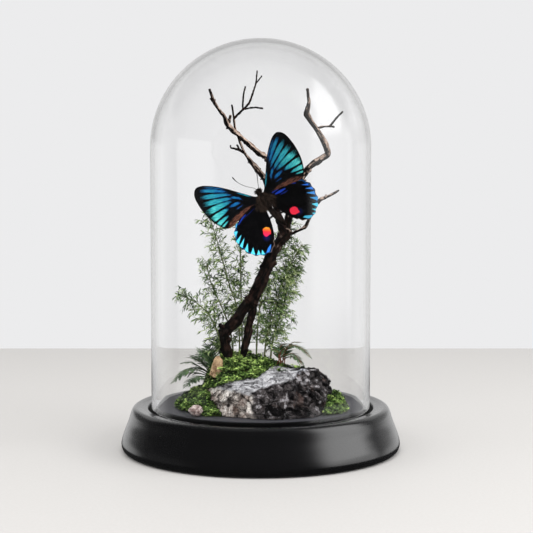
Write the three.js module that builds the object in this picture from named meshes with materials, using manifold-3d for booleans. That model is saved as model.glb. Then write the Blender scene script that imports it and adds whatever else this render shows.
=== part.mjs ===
// A set butterfly under a glass dome: turned base, dome, rock, driftwood, moss, bamboo-like plants,
// ferns and the butterfly itself. Millimetres, Z up, origin under the middle of the base.
import * as THREE from 'three';
import { ConvexGeometry } from 'three/addons/geometries/ConvexGeometry.js';
import { mergeVertices } from 'three/addons/utils/BufferGeometryUtils.js';
import Module from 'manifold-3d';

const wasm = await Module();
wasm.setup();

// Sizes that drive the rest
const gap = 0.3; // air left between pieces that touch
const mossClearance = 0.5; // moss keeps this far from what it grows round
const roundSteps = 40; // facets round the base and the dome
const baseRadius = 95.7;
const plateauRadius = 69.7;
const plateauTop = 31.5;
const seatHeight = 28.2; // floor of the ring that the dome stands in
const domeRadius = 75;
const glassThickness = 2.8;
const rimRounding = 0.8;
const springHeight = 206.5; // where the dome's wall turns into its round top
const crownHeight = 73.8;
const domeArcSteps = 9;
const groundTop = plateauTop + gap; // what stands on the plateau starts here
const bodyTilt = THREE.MathUtils.degToRad(33.5); // butterfly leans to the left
const wingRise = THREE.MathUtils.degToRad(20); // wings lift away from the branch
const wingThickness = 0.5;
const forewingLift = 0.9; // forewings overlap the hindwings from above
const thorax = new THREE.Vector3(2.1, -3, 171.5);

const model = new THREE.Group();
model.name = 'butterfly_dome';

function addPiece(name, geometry, colour, roughness, metalness = 0) {
  const material = new THREE.MeshStandardMaterial({ color: colour, roughness, metalness });
  const mesh = new THREE.Mesh(geometry, material);
  mesh.name = name;
  model.add(mesh);
}

// Solids

function toSolid(geometry) {
  const bare = geometry.clone();
  bare.deleteAttribute('normal');
  bare.deleteAttribute('uv');
  const joined = mergeVertices(bare, 1e-4);
  const corners = joined.index.array;
  const kept = [];
  for (let i = 0; i < corners.length; i += 3) {
    const [a, b, c] = corners.slice(i, i + 3);
    if (a !== b && b !== c && c !== a) {
      kept.push(a, b, c);
    }
  }
  const vertProperties = new Float32Array(joined.attributes.position.array);
  const triVerts = new Uint32Array(kept);
  return new wasm.Manifold(new wasm.Mesh({ numProp: 3, vertProperties, triVerts }));
}

// The largest lump of a solid, so that a cut never leaves crumbs
function toGeometry(solid) {
  const lumps = solid.decompose();
  lumps.sort((first, second) => second.volume() - first.volume());
  const mesh = lumps[0].getMesh();
  const geometry = new THREE.BufferGeometry();
  geometry.setAttribute('position', new THREE.BufferAttribute(mesh.vertProperties, 3));
  geometry.setIndex(new THREE.BufferAttribute(mesh.triVerts, 1));
  geometry.computeVertexNormals();
  return geometry;
}

function cut(geometry, cutters) {
  let solid = toSolid(geometry);
  for (const cutter of cutters) {
    solid = solid.subtract(toSolid(cutter));
  }
  return toGeometry(solid);
}

function turned(profile) {
  const points = profile.map(([radius, height]) => new THREE.Vector2(radius, height));
  return new THREE.LatheGeometry(points, roundSteps).rotateX(Math.PI / 2);
}

// A closed lump round hand-placed corners; grow pushes them out from its middle
function lump(corners, grow = 0) {
  const points = corners.map((corner) => new THREE.Vector3(...corner));
  const middle = new THREE.Vector3();
  points.forEach((point) => middle.add(point));
  middle.divideScalar(points.length);
  for (const point of points) {
    const outward = point.clone().sub(middle).normalize();
    point.addScaledVector(outward, grow);
  }
  return new ConvexGeometry(points);
}

// A closed tapering stem through [x, y, z, radius] points; grow thickens and lengthens it
function stem(path, { sides = 7, stepsPerSpan = 2, grow = 0 } = {}) {
  const points = path.map(([x, y, z]) => new THREE.Vector3(x, y, z));
  const last = points.length - 1;
  const startPull = points[0].clone().sub(points[1]).setLength(grow);
  const endPull = points[last].clone().sub(points[last - 1]).setLength(grow);
  points[0].add(startPull);
  points[last].add(endPull);
  const curve = new THREE.CatmullRomCurve3(points, false, 'centripetal');
  const steps = last * stepsPerSpan;
  const rod = new THREE.CylinderGeometry(1, 1, 1, sides, steps);
  const place = rod.attributes.position;
  const facing = new THREE.Vector3(0.12, 1, 0.05).normalize();
  for (let i = 0; i < place.count; i += 1) {
    const along = THREE.MathUtils.clamp(place.getY(i) + 0.5, 0, 1);
    const span = Math.min(Math.floor(along * last), last - 1);
    const within = along * last - span;
    const radius = THREE.MathUtils.lerp(path[span][3], path[span + 1][3], within) + grow;
    const tangent = curve.getTangent(along);
    const side = new THREE.Vector3().crossVectors(tangent, facing).normalize();
    const back = new THREE.Vector3().crossVectors(side, tangent);
    const spot = curve.getPoint(along);
    spot.addScaledVector(side, place.getX(i) * radius);
    spot.addScaledVector(back, place.getZ(i) * radius);
    place.setXYZ(i, spot.x, spot.y, spot.z);
  }
  return rod;
}

// Base: foot, sloping side, round shoulder, lip, seat ring for the dome, raised middle

const baseProfile = [
  [0, 0],
  [91.2, 0],
  [94.4, 1.3],
  [baseRadius, 4.4],
  [95.2, 8.2],
  [92.9, 15],
  [90.6, 21],
  [89.5, 24.6],
  [88.7, 27],
  [87.5, 29.1],
  [85.7, 30.2],
  [83.2, 30.1],
  [80.4, 29.6],
  [78, 29.3],
  [77.4, 28.9],
  [77.4, seatHeight],
  [plateauRadius + 0.5, seatHeight],
  [plateauRadius + 0.3, plateauTop - 0.5],
  [plateauRadius - 0.3, plateauTop],
  [0, plateauTop],
];

// Dome: one even wall, rounded at its rim, from the inside of the crown down and back up outside

function domeArc(radius, rise) {
  const arc = [];
  for (let step = 0; step <= domeArcSteps; step += 1) {
    const angle = (step / domeArcSteps) * (Math.PI / 2);
    arc.push([radius * Math.sin(angle), springHeight + rise * Math.cos(angle)]);
  }
  return arc;
}

const glassInside = domeArc(domeRadius - glassThickness, crownHeight - glassThickness);
const glassOutside = domeArc(domeRadius, crownHeight).reverse();
const rimBottom = seatHeight + gap;
const domeProfile = [
  ...glassInside,
  [domeRadius - glassThickness, rimBottom + rimRounding],
  [domeRadius - glassThickness + rimRounding, rimBottom],
  [domeRadius - rimRounding, rimBottom],
  [domeRadius, rimBottom + rimRounding],
  ...glassOutside,
];

// Stones

const rockBody = [
  [-22, -50, groundTop],
  [-12, -53, groundTop],
  [-3, -56, groundTop],
  [8, -62, groundTop],
  [23, -54, groundTop],
  [35, -54, groundTop],
  [41, -42, groundTop],
  [44, -20, groundTop],
  [40, 6, groundTop],
  [20, 16, groundTop],
  [-12, 16, groundTop],
  [-30, 2, groundTop],
  [-27, -32, groundTop],
  [-32.5, -25, 40.5],
  [-35, -12, 47],
  [-30, 0, 50],
  [-19, -38, 51],
  [-13.5, -45, 50],
  [-4.2, -52, 48.8],
  [1, -47, 50.3],
  [5, -44.5, 52.2],
  [18, -38, 54],
  [24, -30, 56.5],
  [29, -20, 57.5],
  [28, 1, 56.5],
  [10, 3, 56],
  [-15, 4, 54],
  [46.5, -16, 43],
];
const rockShoulder = [
  [28, -24, 57.6],
  [38.5, -18, 56.5],
  [45.6, -15, 51],
  [46.9, -15, 46.5],
  [46, -26, 42],
  [43, -38, 38],
  [38, -46, 40],
  [30, -40, 50],
  [36, -2, 55.5],
  [29, -2, 57],
  [30, -10, 45],
];
const tanStone = [
  [-28.5, -8, 65.5],
  [-31, -7, 64],
  [-32.5, -9, 60.5],
  [-35, -9, 52.5],
  [-34, -3, 51],
  [-31, -12, 51],
  [-26, -12, 52],
  [-26, -9, 62.5],
  [-25.5, -9, 55],
  [-27, -3, 54],
  [-28, -4, 64],
];
const pebbleRadius = 3.4;
const pebblePlace = [-41.5, -48.5, 35.3];

function pebble(grow = 0) {
  const stone = new THREE.IcosahedronGeometry(pebbleRadius + grow, 1);
  stone.scale(1, 0.95, 1).translate(...pebblePlace);
  return stone;
}

const rock = toGeometry(toSolid(lump(rockBody)).add(toSolid(lump(rockShoulder))));
const rockRoom = [lump(rockBody, mossClearance), lump(rockShoulder, mossClearance)];

// Moss mounds

const mossHill = [
  [-40, 4, groundTop],
  [-42, 24, groundTop],
  [-30, 42, groundTop],
  [-5, 50, groundTop],
  [20, 43, groundTop],
  [35, 24, groundTop],
  [36, 8, groundTop],
  [-36, 2, 48],
  [-30, 1, 57.5],
  [-34, 20, 56],
  [-30, 32, 52],
  [-10, 42, 50],
  [14, 36, 50],
  [26, 20, 50],
  [-22, 8, 62],
  [-12, 12, 62.5],
  [0, 12, 61.5],
  [12, 10, 57.5],
  [22, 10, 54.5],
  [-22, -12, 57],
  [-6, -12, 58],
  [4, -7, 57.5],
  [-26, -22, 51],
  [-12, -27, 52.5],
  [1, -23, 53.5],
];
const mossLeft = [
  [-58, 2, groundTop],
  [-57, -12, groundTop],
  [-51, -26, groundTop],
  [-44, -37, groundTop],
  [-34, -48, groundTop],
  [-24, -50, groundTop],
  [-24, -30, groundTop],
  [-30, -10, groundTop],
  [-33, 4, groundTop],
  [-46, 12, groundTop],
  [-52, 0, 37],
  [-50, -12, 37.5],
  [-42, -8, 42.5],
  [-39, 2, 42],
  [-45, -25, 36],
  [-36, -38, 35],
  [-33, -20, 41],
];
const mossRight = [
  [42, -46, groundTop],
  [50, -42, groundTop],
  [55, -34, groundTop],
  [57.5, -20, groundTop],
  [56, -6, groundTop],
  [50, 2, groundTop],
  [42, 0, groundTop],
  [49, -34, 37],
  [52, -24, 41],
  [51, -12, 41.5],
  [48, -4, 37.5],
  [47, -20, 42.5],
];

// Driftwood: [x, y, z, radius] down the middle of each piece, and what it is fitted round

const driftwood = {
  driftwood_trunk: {
    path: [
      [-6.9, 2, 101.5, 3.4],
      [-2.4, 2, 110, 3.6],
      [0.6, 2, 115.5, 3.6],
      [4.1, 2, 124, 3.6],
      [7.1, 2, 132.5, 3.4],
      [12.1, 2.5, 141, 3.4],
      [16.1, 3, 147, 3.4],
      [18.1, 3.5, 151, 3.2],
    ],
    round: [],
    sides: 9,
  },
  driftwood_left_leg: {
    path: [
      [-21.4, 6, 57.5, 2.6],
      [-22.4, 6, 64, 2.7],
      [-24.4, 6, 71.5, 3.3],
      [-24.8, 6, 78, 3.9],
      [-21.6, 6, 83, 3.7],
      [-15.8, 5, 89.2, 3.4],
      [-9.9, 3, 98, 3.3],
      [-6.4, 2, 102.5, 3.3],
    ],
    round: ['driftwood_trunk'],
    sides: 9,
  },
  driftwood_right_leg: {
    path: [
      [-13.3, 4, 57.8, 1.8],
      [-12.4, 4, 62.5, 1.9],
      [-10.9, 4, 70, 2.2],
      [-9.4, 4, 77.5, 2.3],
      [-7.4, 4, 86.5, 2.3],
      [-5.9, 3.5, 94, 2.3],
      [-4.9, 2.5, 100.5, 2.3],
    ],
    round: ['driftwood_trunk', 'driftwood_left_leg'],
    sides: 8,
  },
  driftwood_right_limb: {
    path: [
      [17.8, 3.5, 149, 2.4],
      [19.1, 4.5, 157.5, 2.2],
      [20.6, 6, 165.5, 2.1],
      [23.6, 7, 178, 2],
      [28.1, 8, 185.5, 2],
      [32.6, 8, 192.5, 2],
      [37.6, 8, 196.5, 2],
      [42.6, 8, 199.5, 2],
      [45.6, 8, 202.5, 2],
      [45.6, 8, 205.5, 1.8],
      [43.6, 8, 210.5, 1.8],
      [40.6, 8, 215.5, 1.8],
      [37.6, 8, 220.5, 1.7],
      [34.1, 8, 225.5, 1.7],
      [31.9, 8, 230.5, 1.7],
      [32.4, 8, 234, 1.7],
      [33, 8, 238, 1.1],
      [32.6, 8, 242, 0.9],
      [32.1, 8, 247, 0.85],
    ],
    round: ['driftwood_trunk'],
    sides: 7,
    stepsPerSpan: 1,
  },
  driftwood_left_prong: {
    path: [
      [17.1, 2.5, 148, 2.4],
      [14.1, 2.4, 154.5, 2.3],
      [11.6, 2.5, 163, 2.2],
      [9.3, 2.6, 171.5, 2.1],
      [8.1, 3, 177, 2.1],
    ],
    round: ['driftwood_trunk', 'driftwood_right_limb'],
    sides: 8,
  },
  driftwood_left_limb: {
    path: [
      [8.6, 3, 175, 1.9],
      [7.1, 4, 187.5, 1.8],
      [4.6, 5, 198.5, 1.7],
      [-1.4, 5, 203.5, 1.7],
      [-9.4, 5, 210, 1.6],
      [-14.9, 5, 215, 1.45],
      [-18.9, 5, 218.5, 1.6],
      [-23.1, 5, 223.2, 1.8],
      [-24.9, 5, 228, 1.1],
      [-28.9, 5, 233, 1],
      [-31.9, 5, 238, 0.95],
      [-34.9, 5, 246.5, 0.85],
    ],
    round: ['driftwood_left_prong'],
    sides: 7,
    stepsPerSpan: 1,
  },
  driftwood_inner_limb: {
    path: [
      [9.1, 3.5, 172, 1.9],
      [6.1, 6, 179.5, 1.9],
      [2.6, 8, 185.5, 1.8],
      [-3.4, 8.5, 193, 1.7],
      [-7.4, 8.5, 198, 1.2],
      [-10.4, 8.5, 202, 0.8],
      [-13.4, 9, 208.5, 0.75],
      [-15.4, 9, 214, 0.7],
      [-17.4, 9, 219, 0.7],
      [-18.4, 9, 227, 0.65],
      [-19.9, 9, 236, 0.6],
    ],
    round: ['driftwood_left_prong', 'driftwood_left_limb'],
    sides: 7,
    stepsPerSpan: 1,
  },
  driftwood_low_twig: {
    path: [
      [17.6, 4, 147, 1],
      [21.6, 5, 148, 0.95],
      [26.1, 6, 150, 0.9],
      [30.6, 7, 152.5, 1],
      [32.4, 7.5, 155.5, 1.05],
      [34.6, 8, 161, 1.1],
      [38.1, 9, 168, 1.2],
      [42.1, 9, 171.5, 1.2],
      [48.1, 9, 174, 0.9],
      [54.1, 9, 177.5, 0.6],
    ],
    round: ['driftwood_trunk'],
    sides: 6,
    stepsPerSpan: 1,
  },
  driftwood_crook_twig: {
    path: [
      [38.1, 8, 220, 0.75],
      [44.6, 8, 221.2, 0.65],
      [50.6, 8, 221, 0.6],
    ],
    round: ['driftwood_right_limb'],
    sides: 6,
  },
  driftwood_crook_twig_fork: {
    path: [
      [47.1, 8, 221, 0.5],
      [52.6, 8.5, 227.5, 0.45],
      [56.6, 9, 231.5, 0.4],
    ],
    round: ['driftwood_crook_twig'],
    sides: 6,
  },
  driftwood_knot_stub: {
    path: [
      [-22.4, 5, 223, 1],
      [-21.2, 4.5, 225.5, 0.95],
      [-20.4, 4, 228.7, 0.7],
    ],
    round: ['driftwood_left_limb'],
    sides: 6,
  },
  driftwood_tip_twig: {
    path: [
      [-30.4, 5, 235.5, 0.5],
      [-32.9, 4, 238.5, 0.5],
      [-34.4, 3.5, 240.2, 0.4],
    ],
    round: ['driftwood_left_limb'],
    sides: 6,
  },
  driftwood_side_twig: {
    path: [
      [-10.4, 8.5, 202, 0.5],
      [-13.9, 8.2, 204.5, 0.5],
      [-17.9, 8, 206, 0.45],
      [-20.4, 8, 206.6, 0.4],
      [-20.8, 8, 208.3, 0.35],
    ],
    round: ['driftwood_inner_limb'],
    sides: 6,
    stepsPerSpan: 1,
  },
  driftwood_side_twig_fork: {
    path: [
      [-13.7, 8.2, 204.2, 0.5],
      [-15, 8.1, 206.3, 0.5],
      [-16.4, 8, 208.7, 0.4],
    ],
    round: ['driftwood_side_twig'],
    sides: 6,
  },
  driftwood_top_twig: {
    path: [
      [-18.4, 9, 226.7, 0.55],
      [-12.4, 9.5, 232.5, 0.5],
      [-8.4, 10, 236.5, 0.5],
      [-5.4, 10, 244, 0.4],
      [-3.4, 10, 250.5, 0.35],
      [-2.4, 10, 259.5, 0.3],
    ],
    round: ['driftwood_inner_limb'],
    sides: 6,
    stepsPerSpan: 1,
  },
  driftwood_top_twig_fork: {
    path: [
      [-3.5, 10, 250.1, 0.3],
      [-1.4, 10.5, 253, 0.3],
      [0.9, 11, 255.8, 0.3],
    ],
    round: ['driftwood_top_twig'],
    sides: 6,
  },
  driftwood_top_twig_left: {
    path: [
      [-12.3, 9.5, 232.5, 0.4],
      [-11.8, 10, 242.5, 0.4],
      [-10.4, 10.5, 248.7, 0.35],
    ],
    round: ['driftwood_top_twig'],
    sides: 6,
  },
  driftwood_top_twig_right: {
    path: [
      [-11.9, 9.5, 232.9, 0.4],
      [-4.4, 9, 234.1, 0.4],
      [1.6, 9, 233.5, 0.35],
    ],
    round: ['driftwood_top_twig'],
    sides: 6,
  },
};

function woodCutters(name) {
  return driftwood[name].round.map((other) => {
    const limb = driftwood[other];
    return stem(limb.path, { ...limb, grow: gap });
  });
}

// Thin green stems: canes lean out from the hill, fronds arch from three crowns

const canes = {
  bamboo_front_left: [
    [-15.5, 22, 56, 0.6],
    [-15, 22, 71.5, 0.6],
    [-17, 22, 96, 0.5],
    [-21.5, 22, 109.5, 0.5],
    [-28, 22, 132, 0.4],
    [-32.5, 22, 148, 0.35],
    [-37, 22, 160.5, 0.3],
  ],
  bamboo_middle: [
    [-12.5, 27, 56, 0.6],
    [-13.5, 27, 80, 0.55],
    [-14, 27, 107, 0.5],
    [-14.5, 27, 135, 0.4],
    [-14.5, 27, 153, 0.3],
  ],
  bamboo_right_inner: [
    [-3, 20, 54, 0.6],
    [-3, 20, 65, 0.6],
    [-2.5, 20, 76, 0.6],
    [-1.5, 20, 89.5, 0.55],
    [1, 20, 104, 0.5],
    [6, 20, 119.5, 0.45],
    [12.5, 21, 135.5, 0.4],
    [21, 22, 152, 0.3],
  ],
  bamboo_right_outer: [
    [2, 24, 54, 0.6],
    [3, 24, 65, 0.6],
    [4.5, 24, 75.5, 0.6],
    [8, 24, 90, 0.5],
    [13, 25, 105, 0.45],
    [20, 25, 123, 0.4],
    [29, 25, 139, 0.3],
  ],
  bamboo_right_short: [
    [6.5, 28, 53, 0.6],
    [8, 28, 68, 0.6],
    [11, 28, 80, 0.5],
    [15.5, 29, 94, 0.45],
    [20, 30, 110, 0.4],
    [25, 30, 122, 0.3],
  ],
  bamboo_low_left: [
    [-24.5, 17, 55, 0.6],
    [-28, 17, 69, 0.6],
    [-32.5, 17, 84, 0.5],
    [-39, 17, 93.5, 0.45],
    [-46, 17, 99.5, 0.4],
    [-53.5, 17, 103, 0.35],
    [-58, 17, 105.5, 0.3],
  ],
  bamboo_back_left: [
    [-19.5, 30, 52, 0.6],
    [-20.5, 30, 70.5, 0.55],
    [-24.5, 30, 86.5, 0.5],
    [-31, 30, 101.5, 0.45],
    [-36, 30, 113.5, 0.4],
    [-38.5, 30, 126.5, 0.3],
  ],
};

const fronds = {
  fern_left_low: [
    [-34.5, 4, 49],
    [-44.5, 2, 52],
    [-53.5, 0, 51],
    [-61, -3, 46],
  ],
  fern_left_middle: [
    [-34, 6, 50],
    [-43.5, 5, 56.5],
    [-49, 4, 59],
    [-55, 2, 58.5],
  ],
  fern_left_high: [
    [-33.5, 8, 51],
    [-40, 10, 57.5],
    [-44.5, 12, 61],
    [-49, 14, 62.5],
  ],
  fern_left_back: [
    [-33, 11, 51.5],
    [-37, 16, 58],
    [-40.5, 20, 62],
    [-43.5, 24, 63.5],
  ],
  fern_left_front: [
    [-35, 1.5, 48],
    [-41.5, -4, 49],
    [-47, -9, 48],
    [-51.5, -13, 44.5],
  ],
  fern_back_left: [
    [-27, 24, 57],
    [-31.5, 24, 67],
    [-35, 23, 69],
    [-40, 22, 65],
  ],
  fern_back_high: [
    [-27, 28, 56.5],
    [-30, 31, 67],
    [-34, 34, 72],
    [-38, 36, 70.5],
  ],
  fern_right_tall: [
    [14, 9, 55],
    [14, 8.5, 66],
    [21.5, 6, 70.5],
    [29, 2, 68.5],
    [34, -2, 63.5],
  ],
  fern_right_low: [
    [10.5, 6.5, 56],
    [15, 5, 63],
    [22.5, 2, 65],
    [28.5, -2, 59.5],
  ],
  fern_right_inner: [
    [12.5, 13, 55.5],
    [12, 15, 64.5],
    [6.5, 17, 66.5],
    [1.5, 16, 63.5],
  ],
  fern_right_back: [
    [16.5, 13, 54.5],
    [18, 19, 65.5],
    [24, 24, 67.5],
    [31.5, 29, 62.5],
  ],
};

const frondRadius = 0.45;
const frondThinning = 0.15; // radius lost on the way to its tip
const frondPaths = Object.entries(fronds).map(([name, path]) => {
  const last = path.length - 1;
  const tapered = path.map(([x, y, z], i) => [x, y, z, frondRadius - (i / last) * frondThinning]);
  return [name, tapered];
});

// The hill is dug out round everything that is stuck into it
const legPaths = [driftwood.driftwood_left_leg.path, driftwood.driftwood_right_leg.path];
const rootedStems = [...legPaths, ...Object.values(canes)];
const sockets = rootedStems.map((path) => stem(path.slice(0, 3), { sides: 8, stepsPerSpan: 1, grow: gap }));
for (const [, path] of frondPaths) {
  sockets.push(stem(path.slice(0, 2), { sides: 6, stepsPerSpan: 1, grow: gap }));
}

// Butterfly, drawn flat: x out along a right-hand wing, y towards the head, z out of its back

const bodyProfile = [
  [0, -23],
  [1, -22.4],
  [1.7, -20],
  [2.1, -16],
  [2.3, -11],
  [1.9, -7],
  [2.9, -4],
  [3.4, -0.5],
  [3.1, 2.5],
  [1.9, 4.4],
  [2.3, 6],
  [1.9, 7.8],
  [0, 8.6],
];
const tailSweep = 3; // the abdomen swings this far to one side at its tip
const waist = -5;
const abdomenLength = 18;

function insectBody(grow = 0) {
  const last = bodyProfile.length - 1;
  const points = bodyProfile.map(([radius, along], i) => {
    const wider = i === 0 || i === last ? 0 : grow;
    const longer = i === 0 ? -grow : i === last ? grow : 0;
    return new THREE.Vector2(radius + wider, along + longer);
  });
  const body = new THREE.LatheGeometry(points, 10);
  const place = body.attributes.position;
  for (let i = 0; i < place.count; i += 1) {
    const behind = Math.max(0, waist - place.getY(i)) / abdomenLength;
    place.setX(i, place.getX(i) + tailSweep * behind ** 1.5);
  }
  return body;
}

const forewing = [
  [2, 3.5],
  [4.5, 5],
  [8, 8.5],
  [13, 14],
  [18, 19.5],
  [22.5, 24],
  [27.5, 28],
  [32, 30.8],
  [36, 31.5],
  [38.8, 29.5],
  [40.4, 26],
  [41, 20],
  [40.7, 14.5],
  [39.8, 9],
  [38, 4],
  [36, 0],
  [33.5, -2.5],
  [31.5, -3.2],
  [28, -3],
  [24.5, -2.4],
  [17.5, -0.8],
  [9.5, 0.8],
  [4.5, 0.6],
  [2, 0.4],
];
const hindwingFront = [
  [2, 1.5],
  [8, 2],
  [17.5, 0],
];
const hindwingMargin = [
  [24, -2],
  [28.5, -4.5],
  [32, -9],
  [33.3, -14],
  [32.7, -19],
  [30, -25.5],
  [26.5, -29],
  [22, -31.6],
  [17.5, -32.6],
  [13, -31],
  [9.5, -27],
];
const hindwingInner = [
  [7, -22],
  [5, -17],
  [3.7, -12],
  [2.9, -7],
  [2.2, -4.5],
  [2, -1],
];
const scallopCount = 9;
const scallopDepth = 0.8;

// The hind edge runs in shallow bays between the vein ends
function scalloped(margin) {
  const curve = new THREE.SplineCurve(margin.map(([x, y]) => new THREE.Vector2(x, y)));
  const steps = scallopCount * 3;
  const edge = [];
  for (let step = 0; step <= steps; step += 1) {
    const spot = curve.getPointAt(step / steps);
    const heading = curve.getTangentAt(step / steps);
    const dip = step % 3 === 0 ? scallopDepth : 0;
    edge.push([spot.x + heading.y * dip, spot.y - heading.x * dip]);
  }
  return edge;
}

const hindwing = [...hindwingFront, ...scalloped(hindwingMargin), ...hindwingInner];

// side is 1 for the wing on the right and -1 for the left; swing turns it forward in its plane,
// and depth narrows it from front to back
function wing(outline, side, { swing = 0, lift = 0, depth = 1 } = {}) {
  const turn = THREE.MathUtils.degToRad(swing);
  const points = outline.map(([x, y]) => {
    const spot = new THREE.Vector2(x, y * depth).rotateAround(new THREE.Vector2(0, 0), turn);
    return new THREE.Vector2(spot.x * side, spot.y);
  });
  const shape = new THREE.Shape(points);
  const flat = new THREE.ExtrudeGeometry(shape, { depth: wingThickness, bevelEnabled: false });
  flat.translate(0, 0, lift);
  flat.rotateY(-side * wingRise);
  return cut(flat, [insectBody(gap)]);
}

const acrossBody = new THREE.Vector3(Math.cos(bodyTilt), 0, Math.sin(bodyTilt));
const alongBody = new THREE.Vector3(-Math.sin(bodyTilt), 0, Math.cos(bodyTilt));
const outOfBack = new THREE.Vector3(0, -1, 0);
const insectPose = new THREE.Matrix4().makeBasis(acrossBody, alongBody, outOfBack).setPosition(thorax);

function posed(geometry) {
  return geometry.clone().applyMatrix4(insectPose);
}

const feelers = {
  butterfly_antenna_long: [
    [-1.5, -4.2, 177.2, 0.25],
    [-4, -5.5, 179, 0.25],
    [-10.5, -7, 180.7, 0.25],
    [-15.5, -8, 183.2, 0.3],
    [-19, -9, 186.6, 0.45],
  ],
  butterfly_antenna_short: [
    [-1.1, -4.2, 177.4, 0.25],
    [-1.9, -5.5, 183.4, 0.25],
    [-2.5, -7, 189.9, 0.45],
  ],
};
const hindLegs = {
  butterfly_leg_left: [
    [8.5, -2.2, 161.9, 0.3],
    [5.5, -1.8, 158.2, 0.3],
    [1, -1.2, 156, 0.25],
  ],
  butterfly_leg_right: [
    [9.5, -2.2, 162.6, 0.3],
    [16, -1.9, 163.2, 0.3],
    [21, -1.2, 165.6, 0.25],
  ],
};

// Everything, from the bottom up

addPiece('base', turned(baseProfile), 0x101012, 0.42);
addPiece('glass_dome', turned(domeProfile), 0xf2f6f7, 0.03);
addPiece('rock', rock, 0x5a5450, 0.85);
addPiece('tan_stone', lump(tanStone), 0xb89a78, 0.8);
addPiece('pebble', pebble(), 0xb9a39b, 0.7);
const hillRoom = lump(mossHill, mossClearance);
const hillCutters = [...rockRoom, lump(tanStone, mossClearance), ...sockets];
addPiece('moss_hill', cut(lump(mossHill), hillCutters), 0x4f6b24, 0.95);
const leftCutters = [...rockRoom, hillRoom, pebble(mossClearance)];
addPiece('moss_left', cut(lump(mossLeft), leftCutters), 0x5d8a2a, 0.95);
addPiece('moss_right', cut(lump(mossRight), rockRoom), 0x5d8a2a, 0.95);

for (const [name, limb] of Object.entries(driftwood)) {
  addPiece(name, cut(stem(limb.path, limb), woodCutters(name)), 0x2c1f19, 0.8);
}
for (const [name, path] of Object.entries(canes)) {
  addPiece(name, stem(path, { sides: 6, stepsPerSpan: 1 }), 0x55703f, 0.6);
}
for (const [name, path] of frondPaths) {
  addPiece(name, stem(path, { sides: 5 }), 0x3e5a34, 0.6);
}

addPiece('butterfly_body', posed(insectBody()), 0x1b1411, 0.9);
const wings = {
  butterfly_forewing_left: wing(forewing, -1, { lift: forewingLift }),
  butterfly_forewing_right: wing(forewing, 1, { lift: forewingLift, swing: 2.5 }),
  butterfly_hindwing_left: wing(hindwing, -1),
  butterfly_hindwing_right: wing(hindwing, 1, { swing: 8, depth: 0.95 }),
};
for (const [name, plate] of Object.entries(wings)) {
  addPiece(name, posed(plate), name.includes('forewing') ? 0x1a4a55 : 0x0b0c12, 0.5);
}

const bodyRoom = posed(insectBody(gap));
for (const [name, path] of Object.entries({ ...feelers, ...hindLegs })) {
  addPiece(name, cut(stem(path, { sides: 6 }), [bodyRoom]), 0x14100e, 0.7);
}

export default model;
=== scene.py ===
# A set butterfly on driftwood over rock, moss, bamboo and ferns, under a glass dome on a black base.
# Shapes are worked out in millimetres and turned into metres when a mesh is made.
import math

import bpy
import numpy as np
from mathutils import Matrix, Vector
from mathutils.geometry import delaunay_2d_cdt


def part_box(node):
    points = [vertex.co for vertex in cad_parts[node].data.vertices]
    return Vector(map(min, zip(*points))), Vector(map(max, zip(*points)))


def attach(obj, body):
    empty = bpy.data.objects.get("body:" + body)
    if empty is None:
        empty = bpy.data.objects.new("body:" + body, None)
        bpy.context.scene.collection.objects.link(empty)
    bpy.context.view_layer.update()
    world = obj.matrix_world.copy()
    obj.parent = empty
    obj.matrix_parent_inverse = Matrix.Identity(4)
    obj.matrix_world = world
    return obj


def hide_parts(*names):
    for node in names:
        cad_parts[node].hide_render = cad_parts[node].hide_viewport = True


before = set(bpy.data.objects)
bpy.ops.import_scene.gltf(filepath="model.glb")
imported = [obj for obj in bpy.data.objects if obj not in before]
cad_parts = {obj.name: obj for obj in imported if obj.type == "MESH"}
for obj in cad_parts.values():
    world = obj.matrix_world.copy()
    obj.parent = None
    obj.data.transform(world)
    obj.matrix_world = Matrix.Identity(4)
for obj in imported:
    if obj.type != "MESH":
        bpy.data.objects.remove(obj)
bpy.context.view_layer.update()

mm = 0.001
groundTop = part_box("rock")[0].z / mm
chance = np.random.default_rng(7)
print("frame loaded")


# one socket of a node tree: sums on it add Math nodes, and add() makes any other node
class Wire:
    def __init__(self, tree, socket=None):
        self.tree = tree
        self.socket = socket

    def add(self, kind, settings=None, sockets=None, out=0):
        node = self.tree.nodes.new(kind)
        for name, value in (settings or {}).items():
            if name == "stops":
                self.setStops(node.color_ramp, value)
            else:
                setattr(node, name, value)
        for name, value in (sockets or {}).items():
            if isinstance(value, Wire):
                self.tree.links.new(value.socket, node.inputs[name])
            else:
                node.inputs[name].default_value = value
        return Wire(self.tree, node.outputs[out] if node.outputs else None)

    def setStops(self, ramp, stops):
        while len(ramp.elements) < len(stops):
            ramp.elements.new(0.5)
        for element, (position, shade) in zip(ramp.elements, stops):
            element.position = position
            element.color = shade

    def other(self, name):  # another output of the same node
        return Wire(self.tree, self.socket.node.outputs[name])

    def sum(self, operation, *values):
        return self.add("ShaderNodeMath", {"operation": operation}, dict(enumerate(values)))

    def __add__(self, value):
        return self.sum("ADD", self, value)

    def __radd__(self, value):
        return self.sum("ADD", value, self)

    def __sub__(self, value):
        return self.sum("SUBTRACT", self, value)

    def __rsub__(self, value):
        return self.sum("SUBTRACT", value, self)

    def __mul__(self, value):
        return self.sum("MULTIPLY", self, value)

    def __pow__(self, value):
        return self.sum("POWER", self, value)


def shade(red, green, blue):  # a colour as seen on a screen, 0 to 255
    return tuple(((value / 255 + 0.055) / 1.055) ** 2.4 for value in (red, green, blue)) + (1.0,)


def mixShades(share, first, second):
    settings = {"data_type": "RGBA", "clamp_factor": True}
    return share.add("ShaderNodeMix", settings, {0: share, 6: first, 7: second}, out=2)


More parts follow.
